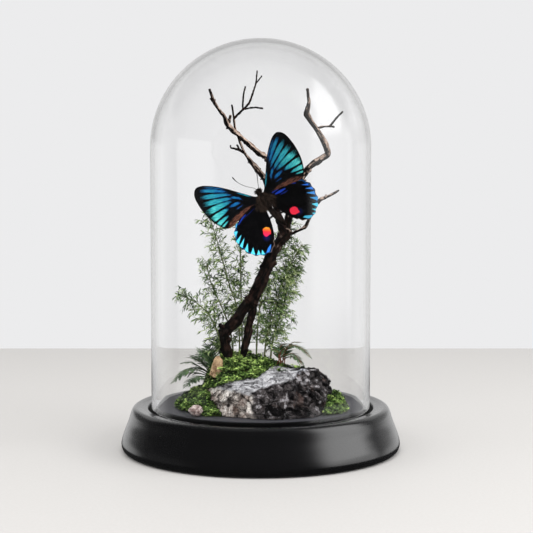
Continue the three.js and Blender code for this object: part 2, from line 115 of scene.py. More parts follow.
def fade(value, start, end):  # 0 at start, 1 at end, eased between
    settings = {"interpolation_type": "SMOOTHSTEP"}
    return value.add("ShaderNodeMapRange", settings, {"Value": value, "From Min": start, "From Max": end})


def noise(place, scale, detail=3.0, roughness=0.5, twist=0.0):
    sockets = {"Vector": place, "Scale": scale, "Detail": detail, "Roughness": roughness}
    return place.add("ShaderNodeTexNoise", {}, {**sockets, "Distortion": twist}, out="Fac")


def grainNoise(spot, size, *finer):  # size is in millimetres
    return noise(spot, 1 / (size * mm), *finer)


def stretched(place, scale, turn=(0.0, 0.0, 0.0)):
    return place.add("ShaderNodeMapping", {}, {"Vector": place, "Scale": scale, "Rotation": turn})


def ramp(tone, *stops):  # stops are (place from 0 to 1, shade)
    return tone.add("ShaderNodeValToRGB", {"stops": stops}, {"Fac": tone}, out="Color")


def newFinish(name):
    finish = bpy.data.materials.new(name)
    finish.use_nodes = True
    finish.node_tree.nodes.clear()
    return finish, Wire(finish.node_tree)


def objectSpot(start):
    return start.add("ShaderNodeTexCoord", out="Object")


def meshValue(start, name, out="Fac"):
    return start.add("ShaderNodeAttribute", {"attribute_name": name}, out=out)


def meshValues(start, *names):
    return [meshValue(start, name) for name in names]


def relief(height, depth, strength=1.0):  # depth is in millimetres
    return height.add("ShaderNodeBump", {}, {"Height": height, "Distance": depth * mm, "Strength": strength})


def finishSurface(start, sockets):
    shader = start.add("ShaderNodeBsdfPrincipled", {}, sockets)
    start.add("ShaderNodeOutputMaterial", {}, {"Surface": shader})


# Meshes from arrays


def makeMesh(name, points, faceSets, values=None):
    mesh = bpy.data.meshes.new(name)
    mesh.vertices.add(len(points))
    mesh.vertices.foreach_set("co", (np.asarray(points) * mm).astype(np.float32).ravel())
    corners = np.concatenate([faces.ravel() for faces in faceSets]).astype(np.int32)
    sizes = np.concatenate([np.full(len(faces), faces.shape[1]) for faces in faceSets])
    mesh.loops.add(len(corners))
    mesh.loops.foreach_set("vertex_index", corners)
    mesh.polygons.add(len(sizes))
    mesh.polygons.foreach_set("loop_start", (np.cumsum(sizes) - sizes).astype(np.int32))
    mesh.update(calc_edges=True)
    for label, numbers in (values or {}).items():
        wide = np.ndim(numbers) == 2
        layer = mesh.attributes.new(label, "FLOAT_VECTOR" if wide else "FLOAT", "POINT")
        layer.data.foreach_set("vector" if wide else "value", np.asarray(numbers, np.float32).ravel())
    mesh.validate()
    return mesh


def addPiece(name, made, finish, slot, nodes=(), smooth=True):  # made is points, face arrays and any values
    mesh = makeMesh(name, *made)
    piece = bpy.data.objects.new(name, mesh)
    bpy.context.scene.collection.objects.link(piece)
    mesh.polygons.foreach_set("use_smooth", [smooth] * len(mesh.polygons))
    mesh.materials.append(finish)
    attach(piece, "root")
    if nodes:
        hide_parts(*nodes)
    return piece


def joinParts(parts):  # parts are (points, [face arrays], {label: values})
    points = np.concatenate([part[0] for part in parts])
    starts = np.cumsum([0] + [len(part[0]) for part in parts])
    faceSets = [faces + start for part, start in zip(parts, starts) for faces in part[1]]
    values = {label: np.concatenate([part[2][label] for part in parts]) for label in parts[0][2]}
    return points, faceSets, values


# Noise and edges worked out in code, for shapes


def grade(value, zero, one):  # 0 at zero, 1 at one, straight between
    return np.clip((value - zero) / (one - zero), 0, 1)


def edge(depth, soft):  # 0 outside, 1 inside, blurred over this width
    return np.clip(depth / soft + 0.5, 0, 1)


def cellValue(cells, seed):
    mixed = cells[:, 0] * 73856093 ^ cells[:, 1] * 19349663 ^ cells[:, 2] * 83492791 ^ seed * 668265263
    mixed = (mixed ^ (mixed >> 13)) * 1274126177 & 0xFFFFFFFF
    mixed = mixed ^ (mixed >> 16)
    return (mixed & 0xFFFF) / 0xFFFF


def softNoise(points, size, seed=0):  # -1 to 1, in lumps of about this size
    spots = np.asarray(points) / size + 1000
    cells = np.floor(spots).astype(np.int64)
    part = spots - cells
    part = part * part * (3 - 2 * part)
    total = np.zeros(len(spots))
    for corner in range(8):
        step = np.array([corner & 1, corner >> 1 & 1, corner >> 2 & 1])
        weight = np.prod(np.where(step == 1, part, 1 - part), axis=1)
        total += weight * cellValue(cells + step, seed)
    return total * 2 - 1


def layeredNoise(points, size, layers=3, seed=0):
    total = np.zeros(len(points))
    for layer in range(layers):
        total += softNoise(points, size / 2**layer, seed + layer) / 2**layer
    return total / (2 - 2 ** (1 - layers))


# Stems: tapering tubes along a smooth line through [x, y, z, radius] points


def unit(vectors):
    return vectors / np.maximum(np.linalg.norm(vectors, axis=-1, keepdims=True), 1e-9)


def alongPath(path, spacing):
    route = np.array(path, float)
    points = route[:, :3]
    padded = np.vstack([2 * points[0] - points[1], points, 2 * points[-1] - points[-2]])
    share = np.linspace(0, 1, 16, endpoint=False)[:, None]
    dense = []
    for span in range(len(points) - 1):
        p0, p1, p2, p3 = padded[span : span + 4]
        d0, d1, d2 = (max(np.linalg.norm(b - a) ** 0.5, 1e-4) for a, b in ((p0, p1), (p1, p2), (p2, p3)))
        t1 = ((p1 - p0) / d0 - (p2 - p0) / (d0 + d1) + (p2 - p1) / d1) * d1
        t2 = ((p2 - p1) / d1 - (p3 - p1) / (d1 + d2) + (p3 - p2) / d2) * d1
        bend = share**2 * (3 * (p2 - p1) - 2 * t1 - t2)
        spot = p1 + share * t1 + bend + share**3 * (2 * (p1 - p2) + t1 + t2)
        radius = route[span, 3] + share * (route[span + 1, 3] - route[span, 3])
        dense.append(np.hstack([spot, radius]))
    dense = np.vstack(dense + [route[-1:]])
    length = np.concatenate([[0], np.cumsum(np.linalg.norm(np.diff(dense[:, :3], axis=0), axis=1))])
    wanted = np.linspace(0, length[-1], max(3, int(length[-1] / spacing) + 1))
    return np.stack([np.interp(wanted, length, dense[:, axis]) for axis in range(4)], axis=1), wanted


def frames(centres):  # heading and two sides at each point of a line
    heading = unit(np.gradient(centres, axis=0))
    facing = unit(np.array([0.12, 1, 0.05]))
    side = unit(np.cross(heading, facing))
    return heading, side, np.cross(side, heading)


def ringFaces(rows, around):  # quads between rings of points, and a fan to one more point at each end
    row, column = np.meshgrid(np.arange(rows - 1), np.arange(around), indexing="ij")
    low, lowNext = row * around + column, row * around + (column + 1) % around
    quads = np.stack([low, lowNext, lowNext + around, low + around], axis=-1).reshape(-1, 4)
    rim = np.arange(around)
    after = (rim + 1) % around
    last = (rows - 1) * around
    firstFan = np.stack([np.full(around, rows * around), after, rim], axis=1)
    lastFan = np.stack([np.full(around, rows * around + 1), rim + last, after + last], axis=1)
    return [quads, np.vstack([firstFan, lastFan])]


def tube(path, spacing, sides, shape=None):
    samples, along = alongPath(path, spacing)
    centres = samples[:, :3]
    heading, side, back = frames(centres)
    angle = np.arange(sides) / sides * 2 * math.pi
    ring = np.cos(angle)[None, :, None] * side[:, None] + np.sin(angle)[None, :, None] * back[:, None]
    radius = np.repeat(samples[:, 3:4], sides, axis=1)
    reach = np.repeat(along[:, None], sides, axis=1)
    grain = np.stack([radius * np.cos(angle), radius * np.sin(angle), reach], axis=-1)
    if shape is not None:
        radius = shape(radius, grain, angle)
    points = (centres[:, None] + ring * radius[..., None]).reshape(-1, 3)
    start = centres[0] - heading[0] * samples[0, 3] * 0.3
    end = centres[-1] + heading[-1] * samples[-1, 3] * 0.5
    points = np.vstack([points, start, end])
    grain = np.vstack([grain.reshape(-1, 3), [0, 0, 0], [0, 0, along[-1]]])
    return points, ringFaces(len(centres), sides), {"grain": grain}


# Leaves: many copies of one small blade, as one mesh. widths runs from foot to tip, lines across the blade.


def leafSet(feet, headings, tops, lengths, breadths, widths, fold=0.25, droop=0.2, lines=(-1, 0, 1)):
    count, stations = len(feet), len(widths)
    headings = unit(headings)
    sides = unit(np.cross(headings, tops))
    tops = np.cross(sides, headings)
    steps = np.linspace(0, 1, stations)
    halves = np.array(widths) / 2
    rows = []
    for across in lines:
        out = steps * lengths[:, None]
        spread = across * halves * breadths[:, None]
        rise = abs(across) * fold * halves * breadths[:, None] - droop * steps**2 * lengths[:, None]
        spots = feet[:, None] + out[..., None] * headings[:, None]
        rows.append(spots + spread[..., None] * sides[:, None] + rise[..., None] * tops[:, None])
    points = np.stack(rows, axis=1).reshape(-1, 3)  # leaf, across, station
    quads = []
    for strip in range(len(lines) - 1):
        for step in range(stations - 1):
            low, high = strip * stations + step, (strip + 1) * stations + step
            quads.append([low, high, high + 1, low + 1])
    each = len(lines) * stations
    quads = (np.array(quads)[None] + np.arange(count)[:, None, None] * each).reshape(-1, 4)
    tint = np.repeat(chance.random(count), each)
    reach = np.tile(np.tile(steps, len(lines)), count)
    return points, [quads], {"tint": tint, "reach": reach}


# Turned pieces: base and dome


def turned(profile, around):  # profile runs from axis to axis, as [radius, height]
    angle = np.arange(around) / around * 2 * math.pi
    radius, height = np.array(profile, float).T
    ring = np.stack([np.cos(angle), np.sin(angle)], axis=1)
    points = np.empty((len(profile) - 2, around, 3))
    points[..., :2] = radius[1:-1, None, None] * ring
    points[..., 2] = height[1:-1, None]
    points = np.vstack([points.reshape(-1, 3), [0, 0, height[0]], [0, 0, height[-1]]])
    return points, ringFaces(len(profile) - 2, around)


def eased(corners, spacing):  # a smooth run through [radius, height] corners
    samples, _ = alongPath([(radius, 0, height, 0) for radius, height in corners], spacing)
    return [(spot[0], spot[2]) for spot in samples]


baseLook = {
    "lacquer": shade(5, 5, 6),
    "cloudyLacquer": shade(9, 9, 11),
    "shadedDitch": shade(2, 2, 2),  # painted shade for the sunk ring that the glass stands in
    # painted sheen: the plateau of the black lacquered base is painted grey for the sheen it shows
    "plateau": (shade(44, 44, 48), shade(74, 74, 79)),
    "gloss": 0.24,
    "around": 208,
    "plateauRadius": 69.7,
    "plateauTop": 31.5,
    "seat": 28.2,
    "lipRadius": 77.4,
}


def makeBase(look):
    finish, start = newFinish("blackLacquer")
    spot = objectSpot(start)
    x = spot.add("ShaderNodeSeparateXYZ", {}, {"Vector": spot}, out="X")
    y, z = x.other("Y"), x.other("Z")
    outward = (x * x + y * y) ** 0.5
    radius, top = look["plateauRadius"], look["plateauTop"]
    seat, lipRadius = look["seat"], look["lipRadius"]
    onTop = fade(outward, (radius + 0.5) * mm, (radius - 0.1) * mm)
    onTop = onTop * fade(z, (top - 1) * mm, (top - 0.3) * mm)
    shadedDitch = fade(outward, (radius + 0.2) * mm, (radius + 0.6) * mm)
    shadedDitch = shadedDitch * fade(outward, (lipRadius + 0.2) * mm, (lipRadius - 0.4) * mm)
    shadedDitch = shadedDitch * fade(z, (top - 0.3) * mm, (top - 0.9) * mm)
    fine = grainNoise(spot, 0.8, 4, 0.6)
    cloudy = grainNoise(spot, 25, 3)
    lacquer = mixShades(cloudy, look["lacquer"], look["cloudyLacquer"])
    # painted shade: the sunk ring is painted near black and loses its coat and gloss, as if in shade
    lacquer = mixShades(shadedDitch, lacquer, look["shadedDitch"])
    # painted sheen: the plateau's grey colour stands in for the sheen of its black lacquer
    plateau = mixShades(fade(fine, 0.3, 0.75), *look["plateau"])
    finishSurface(start, {
        "Base Color": mixShades(onTop, lacquer, plateau),
        "Roughness": look["gloss"] + onTop * 0.25 + fine * 0.06 + shadedDitch * 0.5,
        "Specular IOR Level": 0.3,
        "Coat Weight": 0.8 - onTop * 0.8 - shadedDitch * 0.8,
        "Coat Roughness": 0.2,
        "Coat IOR": 1.9,
        "Normal": relief(fine, 0.05, 0.5),
    })
    flank = [(91.2, 0), (94.4, 1.3), (95.7, 4.4), (95.2, 8.2)]
    flank += [(92.9, 15), (90.6, 21), (89.5, 24.6), (88.7, 27)]
    shoulder = [(87.5, 29.1), (85.7, 30.2), (83.2, 30.1), (80.4, 29.6), (78.3, 29.4)]
    lip = [(lipRadius + 0.6, 29.35), (lipRadius + 0.2, 29.15), (lipRadius, 28.8)]
    profile = [(0, 0), (80, 0), *eased(flank + shoulder, 0.45), *eased(lip, 0.15)]
    profile += [(lipRadius, seat), (76, seat), (radius + 0.9, seat)]
    profile += eased([(radius + 0.5, seat + 0.1), (radius + 0.35, top - 0.8)], 0.6)
    profile += eased([(radius + 0.3, top - 0.6), (radius, top - 0.15), (radius - 0.6, top)], 0.15)
    profile += [(radius - 1.5, top), (radius / 2, top), (0, top)]
    addPiece("base_turned", turned(profile, look["around"]), finish, "black_wood", ["base"])


domeLook = {
    "radius": 75,
    "wall": 2.8,
    "spring": 206.5,
    "crown": 73.8,
    "rimBottom": 28.5,
    "rimRound": 0.8,
    "rimSteps": 6,
    "wallSteps": 13,
    "around": 176,
    "arcSteps": 52,
}


def makeDome(look):
    finish, start = newFinish("clearGlass")
    finishSurface(start, {
        "Base Color": (1.0, 1.0, 1.0, 1.0),
        "Roughness": 0.0,
        "Transmission Weight": 1.0,
        "IOR": 1.45,
    })
    turns = np.linspace(0, math.pi / 2, look["arcSteps"] + 1)
    rimTurns = np.linspace(0, math.pi / 2, look["rimSteps"] + 1)
    bottom, small = look["rimBottom"], look["rimRound"]
    heights = np.linspace(look["spring"], bottom + small, look["wallSteps"] + 1)[1:-1]

    def wallLine(inset):  # down one face of the wall, from the crown
        width, rise = look["radius"] - inset, look["crown"] - inset
        arc = [(width * math.sin(turn), look["spring"] + rise * math.cos(turn)) for turn in turns]
        return arc + [(width, height) for height in heights]

    inside, outside = wallLine(look["wall"]), wallLine(0)
    inner, outer = look["radius"] - look["wall"], look["radius"]
    arcs = [(small * (1 - math.cos(turn)), bottom + small * (1 - math.sin(turn))) for turn in rimTurns]
    rim = [(inner + inset, height) for inset, height in arcs]
    rim += [(outer - inset, height) for inset, height in reversed(arcs)]
    made = turned(inside + rim + outside[::-1], look["around"])
    dome = addPiece("dome_glass", made, finish, "clear_glass", ["glass_dome"])
    dome.visible_shadow = False  # lamp light goes straight in


# Stones and moss mounds start as fine skins over their solids


def denseSkin(node, voxel):
    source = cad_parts[node]
    rough = bpy.data.objects.new("rough", source.data.copy())
    bpy.context.scene.collection.objects.link(rough)
    skin = rough.modifiers.new("skin", "REMESH")
    skin.mode = "VOXEL"
    skin.voxel_size = voxel * mm
    mesh = bpy.data.meshes.new_from_object(rough.evaluated_get(bpy.context.evaluated_depsgraph_get()))
    bpy.data.objects.remove(rough)
    points = np.empty(len(mesh.vertices) * 3, np.float32)
    normals = np.empty(len(mesh.vertices) * 3, np.float32)
    corners = np.empty(len(mesh.loops), np.int32)
    mesh.vertices.foreach_get("co", points)
    mesh.vertices.foreach_get("normal", normals)
    mesh.loops.foreach_get("vertex_index", corners)
    bpy.data.meshes.remove(mesh)
    points, normals = points.reshape(-1, 3).astype(float), normals.reshape(-1, 3).astype(float)
    return points / mm, normals, corners.reshape(-1, 4)


rockLook = {
    "voxel": 0.7,
    "lumps": 1.1,
    "chips": 2.5,
    "smallChips": 0.75,
    "facetSize": 9.5,
    "cracks": 1.3,
    "pits": 0.6,
    "leftBulge": 2.2,
    "brow": [  # where the pale top ends, painted paler partly as lit from above: [x, height]
        (-33, 47.5), (-22, 46.5), (-7, 45.5), (-1, 49), (5, 51), (22, 54), (30, 57.5), (45, 59),
    ],
    "frontEdge": -5,  # x of the upright edge between the paler side, partly painted as lit from the left, and the dark side
    "shoulder": 22,  # x where the broken shoulder starts
    "vein": shade(22, 19, 18),
    "hollow": shade(7, 6, 6),
    "speck": shade(10, 9, 9),
    "tanLitSide": (shade(60, 55, 52), shade(172, 163, 156), shade(124, 102, 92), shade(228, 222, 216)),
    "darkSide": (shade(11, 10, 11), shade(70, 65, 65), shade(96, 78, 72), shade(172, 169, 172)),
    "darkVein": shade(124, 121, 123),
    "top": (shade(100, 99, 102), shade(186, 186, 189), shade(60, 59, 62), shade(34, 33, 35)),
    "broken": (shade(12, 11, 12), shade(186, 187, 194)),
}


def rockFinish(look):
    finish, start = newFinish("greyRock")
    spot = objectSpot(start)
    patches = grainNoise(spot, 12, 3, 0.55, 0.6)
    mottle = grainNoise(spot, 3.6, 5, 0.68, 0.5)
    speckle = grainNoise(spot, 1.1, 4, 0.7)
    layers = grainNoise(stretched(spot, (0.45, 0.8, 2.0)), 3.6, 5, 0.65, 1.2)
    leftSide, onTop, hollow, shoulder = meshValues(start, "leftSide", "onTop", "hollow", "shoulder")
    tone, smallTone = meshValues(start, "tone", "smallTone")
    chip = tone * 0.5 + smallTone * 0.4 + (mottle - 0.5) * 1.2 + (layers - 0.5) * 0.5
    swirl = grainNoise(spot, 9, 3, 0.6, 1.8) - 0.5
    swirl = 1 - swirl.sum("ABSOLUTE", swirl) * 2
    low, high, warm, bright = look["tanLitSide"]
    tan = mixShades(fade(chip, 0.15, 0.45), low, high)
    tan = mixShades(fade(patches, 0.52, 0.64) * 0.5, tan, warm)
    tan = mixShades(fade(chip, 0.44, 0.72), tan, bright)
    tan = mixShades(fade(swirl, 0.95, 0.99) * 0.85, tan, look["vein"])
    low, high, warm, bright = look["darkSide"]
    dark = mixShades(fade(chip, 0.25, 0.7), low, high)
    dark = mixShades(fade(swirl, 0.96, 0.995) * fade(mottle, 0.45, 0.58) * 0.8, dark, look["darkVein"])
    dark = mixShades(fade(patches, 0.58, 0.68) * 0.5, dark, warm)
    dark = mixShades(fade(chip, 0.66, 0.86) * 0.85, dark, bright)
    # painted light: the left face is painted tan and lighter, partly its own colour and partly as lit from
    # the left
    side = mixShades(leftSide, mixShades(shoulder * 0.15, dark, look["broken"][0]), tan)
    side = mixShades(fade(speckle, 0.57, 0.7) * 0.8, side, look["speck"])
    # painted light: the top is painted pale, partly its own colour and partly as lit from above
    low, high, stain, speck = look["top"]
    top = mixShades(fade(layers + (smallTone - 0.5) * 0.15, 0.33, 0.58), low, high)
    top = mixShades(fade(mottle + (tone - 0.5) * 0.2, 0.63, 0.74) * 0.7, top, stain)
    top = mixShades(fade(speckle, 0.6, 0.72) * 0.8, top, speck)
    top = mixShades(shoulder, top, mixShades(fade(chip, 0.46, 0.78), *look["broken"]))
    # painted shade: cracks and hollows are painted near black
    colour = mixShades(hollow * 0.9, mixShades(onTop, side, top), look["hollow"])
    finishSurface(start, {
        "Base Color": colour,
        "Roughness": 0.7 + speckle * 0.25,
        "Specular IOR Level": 0.3,
        "Normal": relief(mottle * 0.5 + speckle * 0.5, 1.3, 1.0),
    })
    return finish


def facets(points, size, seed):  # tilted flat chips of about this size: their height, edges and shade
    spots = np.asarray(points) / size + 1000
    cells = np.floor(spots).astype(np.int64)
    first, second = np.full(len(spots), 9.0), np.full(len(spots), 9.0)
    height, tone = np.zeros(len(spots)), np.zeros(len(spots))
    for corner in range(27):
        near = cells + np.array([corner % 3 - 1, corner // 3 % 3 - 1, corner // 9 - 1])
        middle = near + np.stack([cellValue(near, seed + axis) for axis in range(3)], axis=1)
        tilt = unit(np.stack([cellValue(near, seed + axis) - 0.5 for axis in range(4, 7)], axis=1))
        offset = spots - middle
        gap = np.linalg.norm(offset, axis=1)
        nearer = gap < first
        height = np.where(nearer, np.sum(offset * tilt, axis=1), height)
        tone = np.where(nearer, cellValue(near, seed + 8), tone)
        second = np.minimum(second, np.maximum(first, gap))
        first = np.minimum(first, gap)
    return height, second - first, tone


def makeRock(look):
    points, normals, quads = denseSkin("rock", look["voxel"])
    bent = points + np.stack([layeredNoise(points, 7, 3, 77 + axis) for axis in range(3)], axis=1) * 1.6
    chips, ridge, tone = facets(bent, look["facetSize"], 3)
    smallChips, _, smallTone = facets(bent * [1, 1, 1.4], look["facetSize"] * 0.4, 13)
    lumps = layeredNoise(points, 15, 3, 11) * look["lumps"]
    faces = chips * look["chips"] + smallChips * look["smallChips"]
    crackDepth = grade(np.abs(layeredNoise(points, 15, 3, 21)), 0.05, 0)
    small = layeredNoise(points, 2.6, 3, 31) * look["pits"]
    moved = points + normals * (lumps + faces + small - crackDepth * look["cracks"] - 0.2)[:, None]
    leftFoot = grade(points[:, 0], -21, -27) * grade(points[:, 2], 49, 44)
    moved[:, 0] -= leftFoot * look["leftBulge"]
    moved[:, 2] = np.maximum(moved[:, 2], groundTop)
    moved[points[:, 2] < groundTop + 0.6, 2] = groundTop
    x = moved[:, 0]
    brow = np.interp(x, *np.array(look["brow"]).T)
    wobble = layeredNoise(points, 7, 3, 91)
    values = {
        "onTop": edge(points[:, 2] - brow + wobble * 1.2, 1.2),
        "leftSide": edge(look["frontEdge"] - x + wobble * 5, 3),
        "shoulder": edge(x - look["shoulder"] + wobble * 9, 5),
        # painted shade: where cracks and pits sink in, marked to be painted dark
        "hollow": np.clip(crackDepth * 0.9 + np.clip(0.16 - ridge, 0, 1) * 4 * (small < 0.05), 0, 1),
        "tone": tone,
        "smallTone": smallTone,
    }
    made = (moved, [quads], values)
    addPiece("rock_body", made, rockFinish(look), "grey_rock", ["rock"], smooth=False)
    return moved, normals


stones = {
    "tan_stone": {
        "piece": "tan_stone_rough", "slot": "tan_stone",
        "voxel": 0.35, "bumps": 0.9, "bumpSize": 5, "seed": 61,
        "dark": shade(128, 100, 74), "light": shade(186, 158, 124), "specks": shade(84, 64, 48),
    },
    "pebble": {
        "piece": "pebble_worn", "slot": "pale_pebble",
        "voxel": 0.2, "bumps": 1.3, "bumpSize": 3.2, "seed": 71,
        "dark": shade(120, 100, 96), "light": shade(204, 188, 184), "specks": shade(70, 58, 54),
        "stretch": (1.3, 1.1, 1.0),
    },
}


def makeStone(node, look):
    finish, start = newFinish(look["piece"])
    spot, size = objectSpot(start), look["bumpSize"]
    broad = grainNoise(spot, size, 3, 0.55)
    fine = grainNoise(spot, size * 0.22, 4, 0.65)
    colour = mixShades(fade(broad, 0.35, 0.65), look["dark"], look["light"])
    colour = mixShades(fade(fine, 0.52, 0.64), colour, look["specks"])
    finishSurface(start, {
        "Base Color": colour,
        "Roughness": 0.62 + fine * 0.25,
        "Normal": relief(fine, 0.5, 0.6),
    })
    points, normals, quads = denseSkin(node, look["voxel"])
    middle, seed = points.mean(axis=0), look["seed"]
    bumps = layeredNoise(points, size, 4, seed)
    bumps = bumps + np.abs(layeredNoise(points, size * 0.5, 2, seed + 5)) * 0.6
    wider = middle + (points - middle) * look.get("stretch", (1, 1, 1))
    moved = wider + normals * bumps[:, None] * look["bumps"]
    moved[:, 2] = np.maximum(moved[:, 2], groundTop)
    addPiece(look["piece"], (moved, [quads]), finish, look["slot"], [node])


# Moss: a dark mound and many small round-leaved sprigs on it

mossLook = {
    # bright: how much each mound's high sprigs are painted lighter than its low ones, as light and shade
    "mounds": {
        "moss_hill": {
            "sprigs": 5400, "clump": 4.8, "leaf": 1.45, "bright": 1.2,
            "fallOff": [  # lower to the right: [x, share]
                (-34, 0.5), (-27, 0.9), (-8, 1.0), (4, 0.5), (14, 0.25), (26, 0.2),
            ],
        },
        "moss_left": {
            "sprigs": 3900, "clump": 2.0, "leaf": 1.25, "bright": 0.8,
            "fallOff": [(-35, 1), (-31, 0.4), (-25, 0.15)],  # lower beside the rock
            "cap": [(-35, 60), (-33, 38), (-30, 34.5), (-26, 32.5), (-23, 31.7)],
        },
        "moss_right": {"sprigs": 2300, "clump": 2.4, "leaf": 1.2, "bright": 0.65, "squash": 0.85},
    },
    "spill": {"sprigs": 2100, "clump": 2.6, "leaf": 1.45, "bright": 1.2},  # moss on top of the rock
    "spillEdge": [(-36, 42.8), (-24.3, 45.9), (-14.1, 48), (-3.2, 50.2), (3.7, 54.6)],  # its end: [x, rise]
    "spillSlope": 0.158,
    "tufts": [(14, -12, 2.2), (24, -8, 2.6), (-3, -14, 2.4)],  # small ones on the rock: [x, y, reach]
    "leafShape": (0.4, 1.15, 0.25),
    "soil": (shade(26, 28, 14), shade(52, 66, 24), shade(84, 104, 38)),
    "leavesPerSprig": 5,
    "light": shade(174, 200, 110),
    "middle": shade(94, 126, 58),
    "deep": shade(22, 36, 14),
}


def mossFinishes(look):
    soil, start = newFinish("mossBed")
    spot = objectSpot(start)
    broad = grainNoise(spot, 5, 4, 0.6)
    fine = grainNoise(spot, 0.9, 4, 0.7)
    dark, green, bright = look["soil"]
    colour = mixShades(fade(broad, 0.35, 0.65), dark, green)
    colour = mixShades(fade(fine, 0.5, 0.75), colour, bright)
    finishSurface(start, {
        "Base Color": colour,
        "Roughness": 0.95,
        "Normal": relief(fine, 0.8, 0.8),
    })
    leafy, start = newFinish("mossLeaf")
    spot = objectSpot(start)
    tint, reach, bright = meshValues(start, "tint", "reach", "bright")
    clumps = grainNoise(spot, 7, 3, 0.6)
    # bright paints high sprigs lighter and low ones darker, as light and shade
    tone = tint * 0.8 + clumps * 0.5 + reach * 0.2 + bright * 0.75 - 0.72
    finishSurface(start, {
        "Base Color": ramp(tone, (0.1, look["deep"]), (0.42, look["middle"]), (0.9, look["light"])),
        "Roughness": 0.5 + tint * 0.2,
        "Normal": relief(grainNoise(spot, 0.5, 2), 0.1, 0.4),
    })
    return soil, leafy


def sprigs(points, normals, mound, look):
    count, leaf = mound["sprigs"], mound["leaf"]
    x, y, z = points.T
    besideStone = (x < -26) & (y > -13) & (y < 1) & (z > 48.5)  # the tan stone stays clear
    upright = (normals[:, 2] > -0.15) & (z > groundTop + 0.3) & ~besideStone
    picks = chance.choice(np.flatnonzero(upright), count)
    feet = points[picks] + chance.normal(0, 0.3, (count, 3))
    lower = np.interp(feet[:, 0], *np.array(mound.get("fallOff", [(0, 1)])).T)
    lift = np.clip(layeredNoise(feet, 4.5, 2, 41) + 0.3, 0, 1) * chance.uniform(0.35, 1.1, count)
    feet = feet + normals[picks] * (lift * mound["clump"] * lower - 0.2)[:, None]
    stand = unit(normals[picks] * 0.8 + np.array([0, 0, 0.9]) + chance.normal(0, 0.25, (count, 3)))
    across = unit(np.cross(stand, chance.normal(0, 1, (count, 3))))
    beyond = np.cross(stand, across)
    parts = []
    spin = chance.random(count) * 2 * math.pi
    each = look["leavesPerSprig"]
    for index in range(each):
        turn = spin + index / each * 2 * math.pi + chance.normal(0, 0.2, count)
        tilt = chance.uniform(0.1, 0.8, count)
        around = np.cos(turn)[:, None] * across + np.sin(turn)[:, None] * beyond
        heading = unit(around * np.cos(tilt)[:, None] + stand * np.sin(tilt)[:, None])
        start = feet + heading * 0.15 + stand * chance.uniform(0, 0.8, (count, 1))
        lengths = leaf * chance.uniform(0.65, 1.25, count) * (0.6 + 0.4 * lower)
        shape = (lengths, lengths * 0.85, look["leafShape"], 0, 0.15, (-1, 1))
        leafPoints, quads, values = leafSet(start, heading, stand, *shape)
        # painted light and shade: sprigs lifted high are painted brighter, low and crowded ones darker
        bright = mound["bright"] * (0.1 + lift * 1.1) * np.clip(lower * 1.6, 0, 1)
        bright = bright * chance.uniform(0.25, 1.5, count)
        values["bright"] = np.repeat(np.clip(bright, 0, 1.2), len(leafPoints) // count)
        parts.append((leafPoints, quads, values))
    return joinParts(parts)


def makeMoss(look, rockSkin):
    soil, leafy = mossFinishes(look)
    for node, mound in look["mounds"].items():
        points, normals, quads = denseSkin(node, 1.0)
        bumps = layeredNoise(points, 7, 3, 51)[:, None] * 0.9
        moved = points + normals * bumps
        height = groundTop + np.maximum(moved[:, 2] - groundTop, 0) * mound.get("squash", 1)
        highest = np.interp(moved[:, 0], *np.array(mound.get("cap", [(0, 99)])).T)
        moved[:, 2] = np.minimum(height, highest)
        addPiece(node + "_bed", (moved, [quads]), soil, "moss", [node])
        made = sprigs(moved, normals, mound, look)
        addPiece(node + "_leaves", made, leafy, "moss", smooth=False)
    points, normals = rockSkin
    x, y, z = points.T
    rise = z + (y + 10) * look["spillSlope"] + layeredNoise(points, 5, 2, 67) * 1.2
    drape = (x < 3) & (z > 41) & (rise > np.interp(x, *np.array(look["spillEdge"]).T)) & (y < 6)
    for middleX, middleY, reach in look["tufts"]:
        drape |= (np.hypot(x - middleX, y - middleY) < reach) & (z > 48)
    made = sprigs(points[drape], normals[drape], look["spill"], look)
    addPiece("moss_spill_leaves", made, leafy, "moss", smooth=False)


# Driftwood, canes and fronds: [x, y, z, radius] down the middle of each piece (fronds taper evenly)

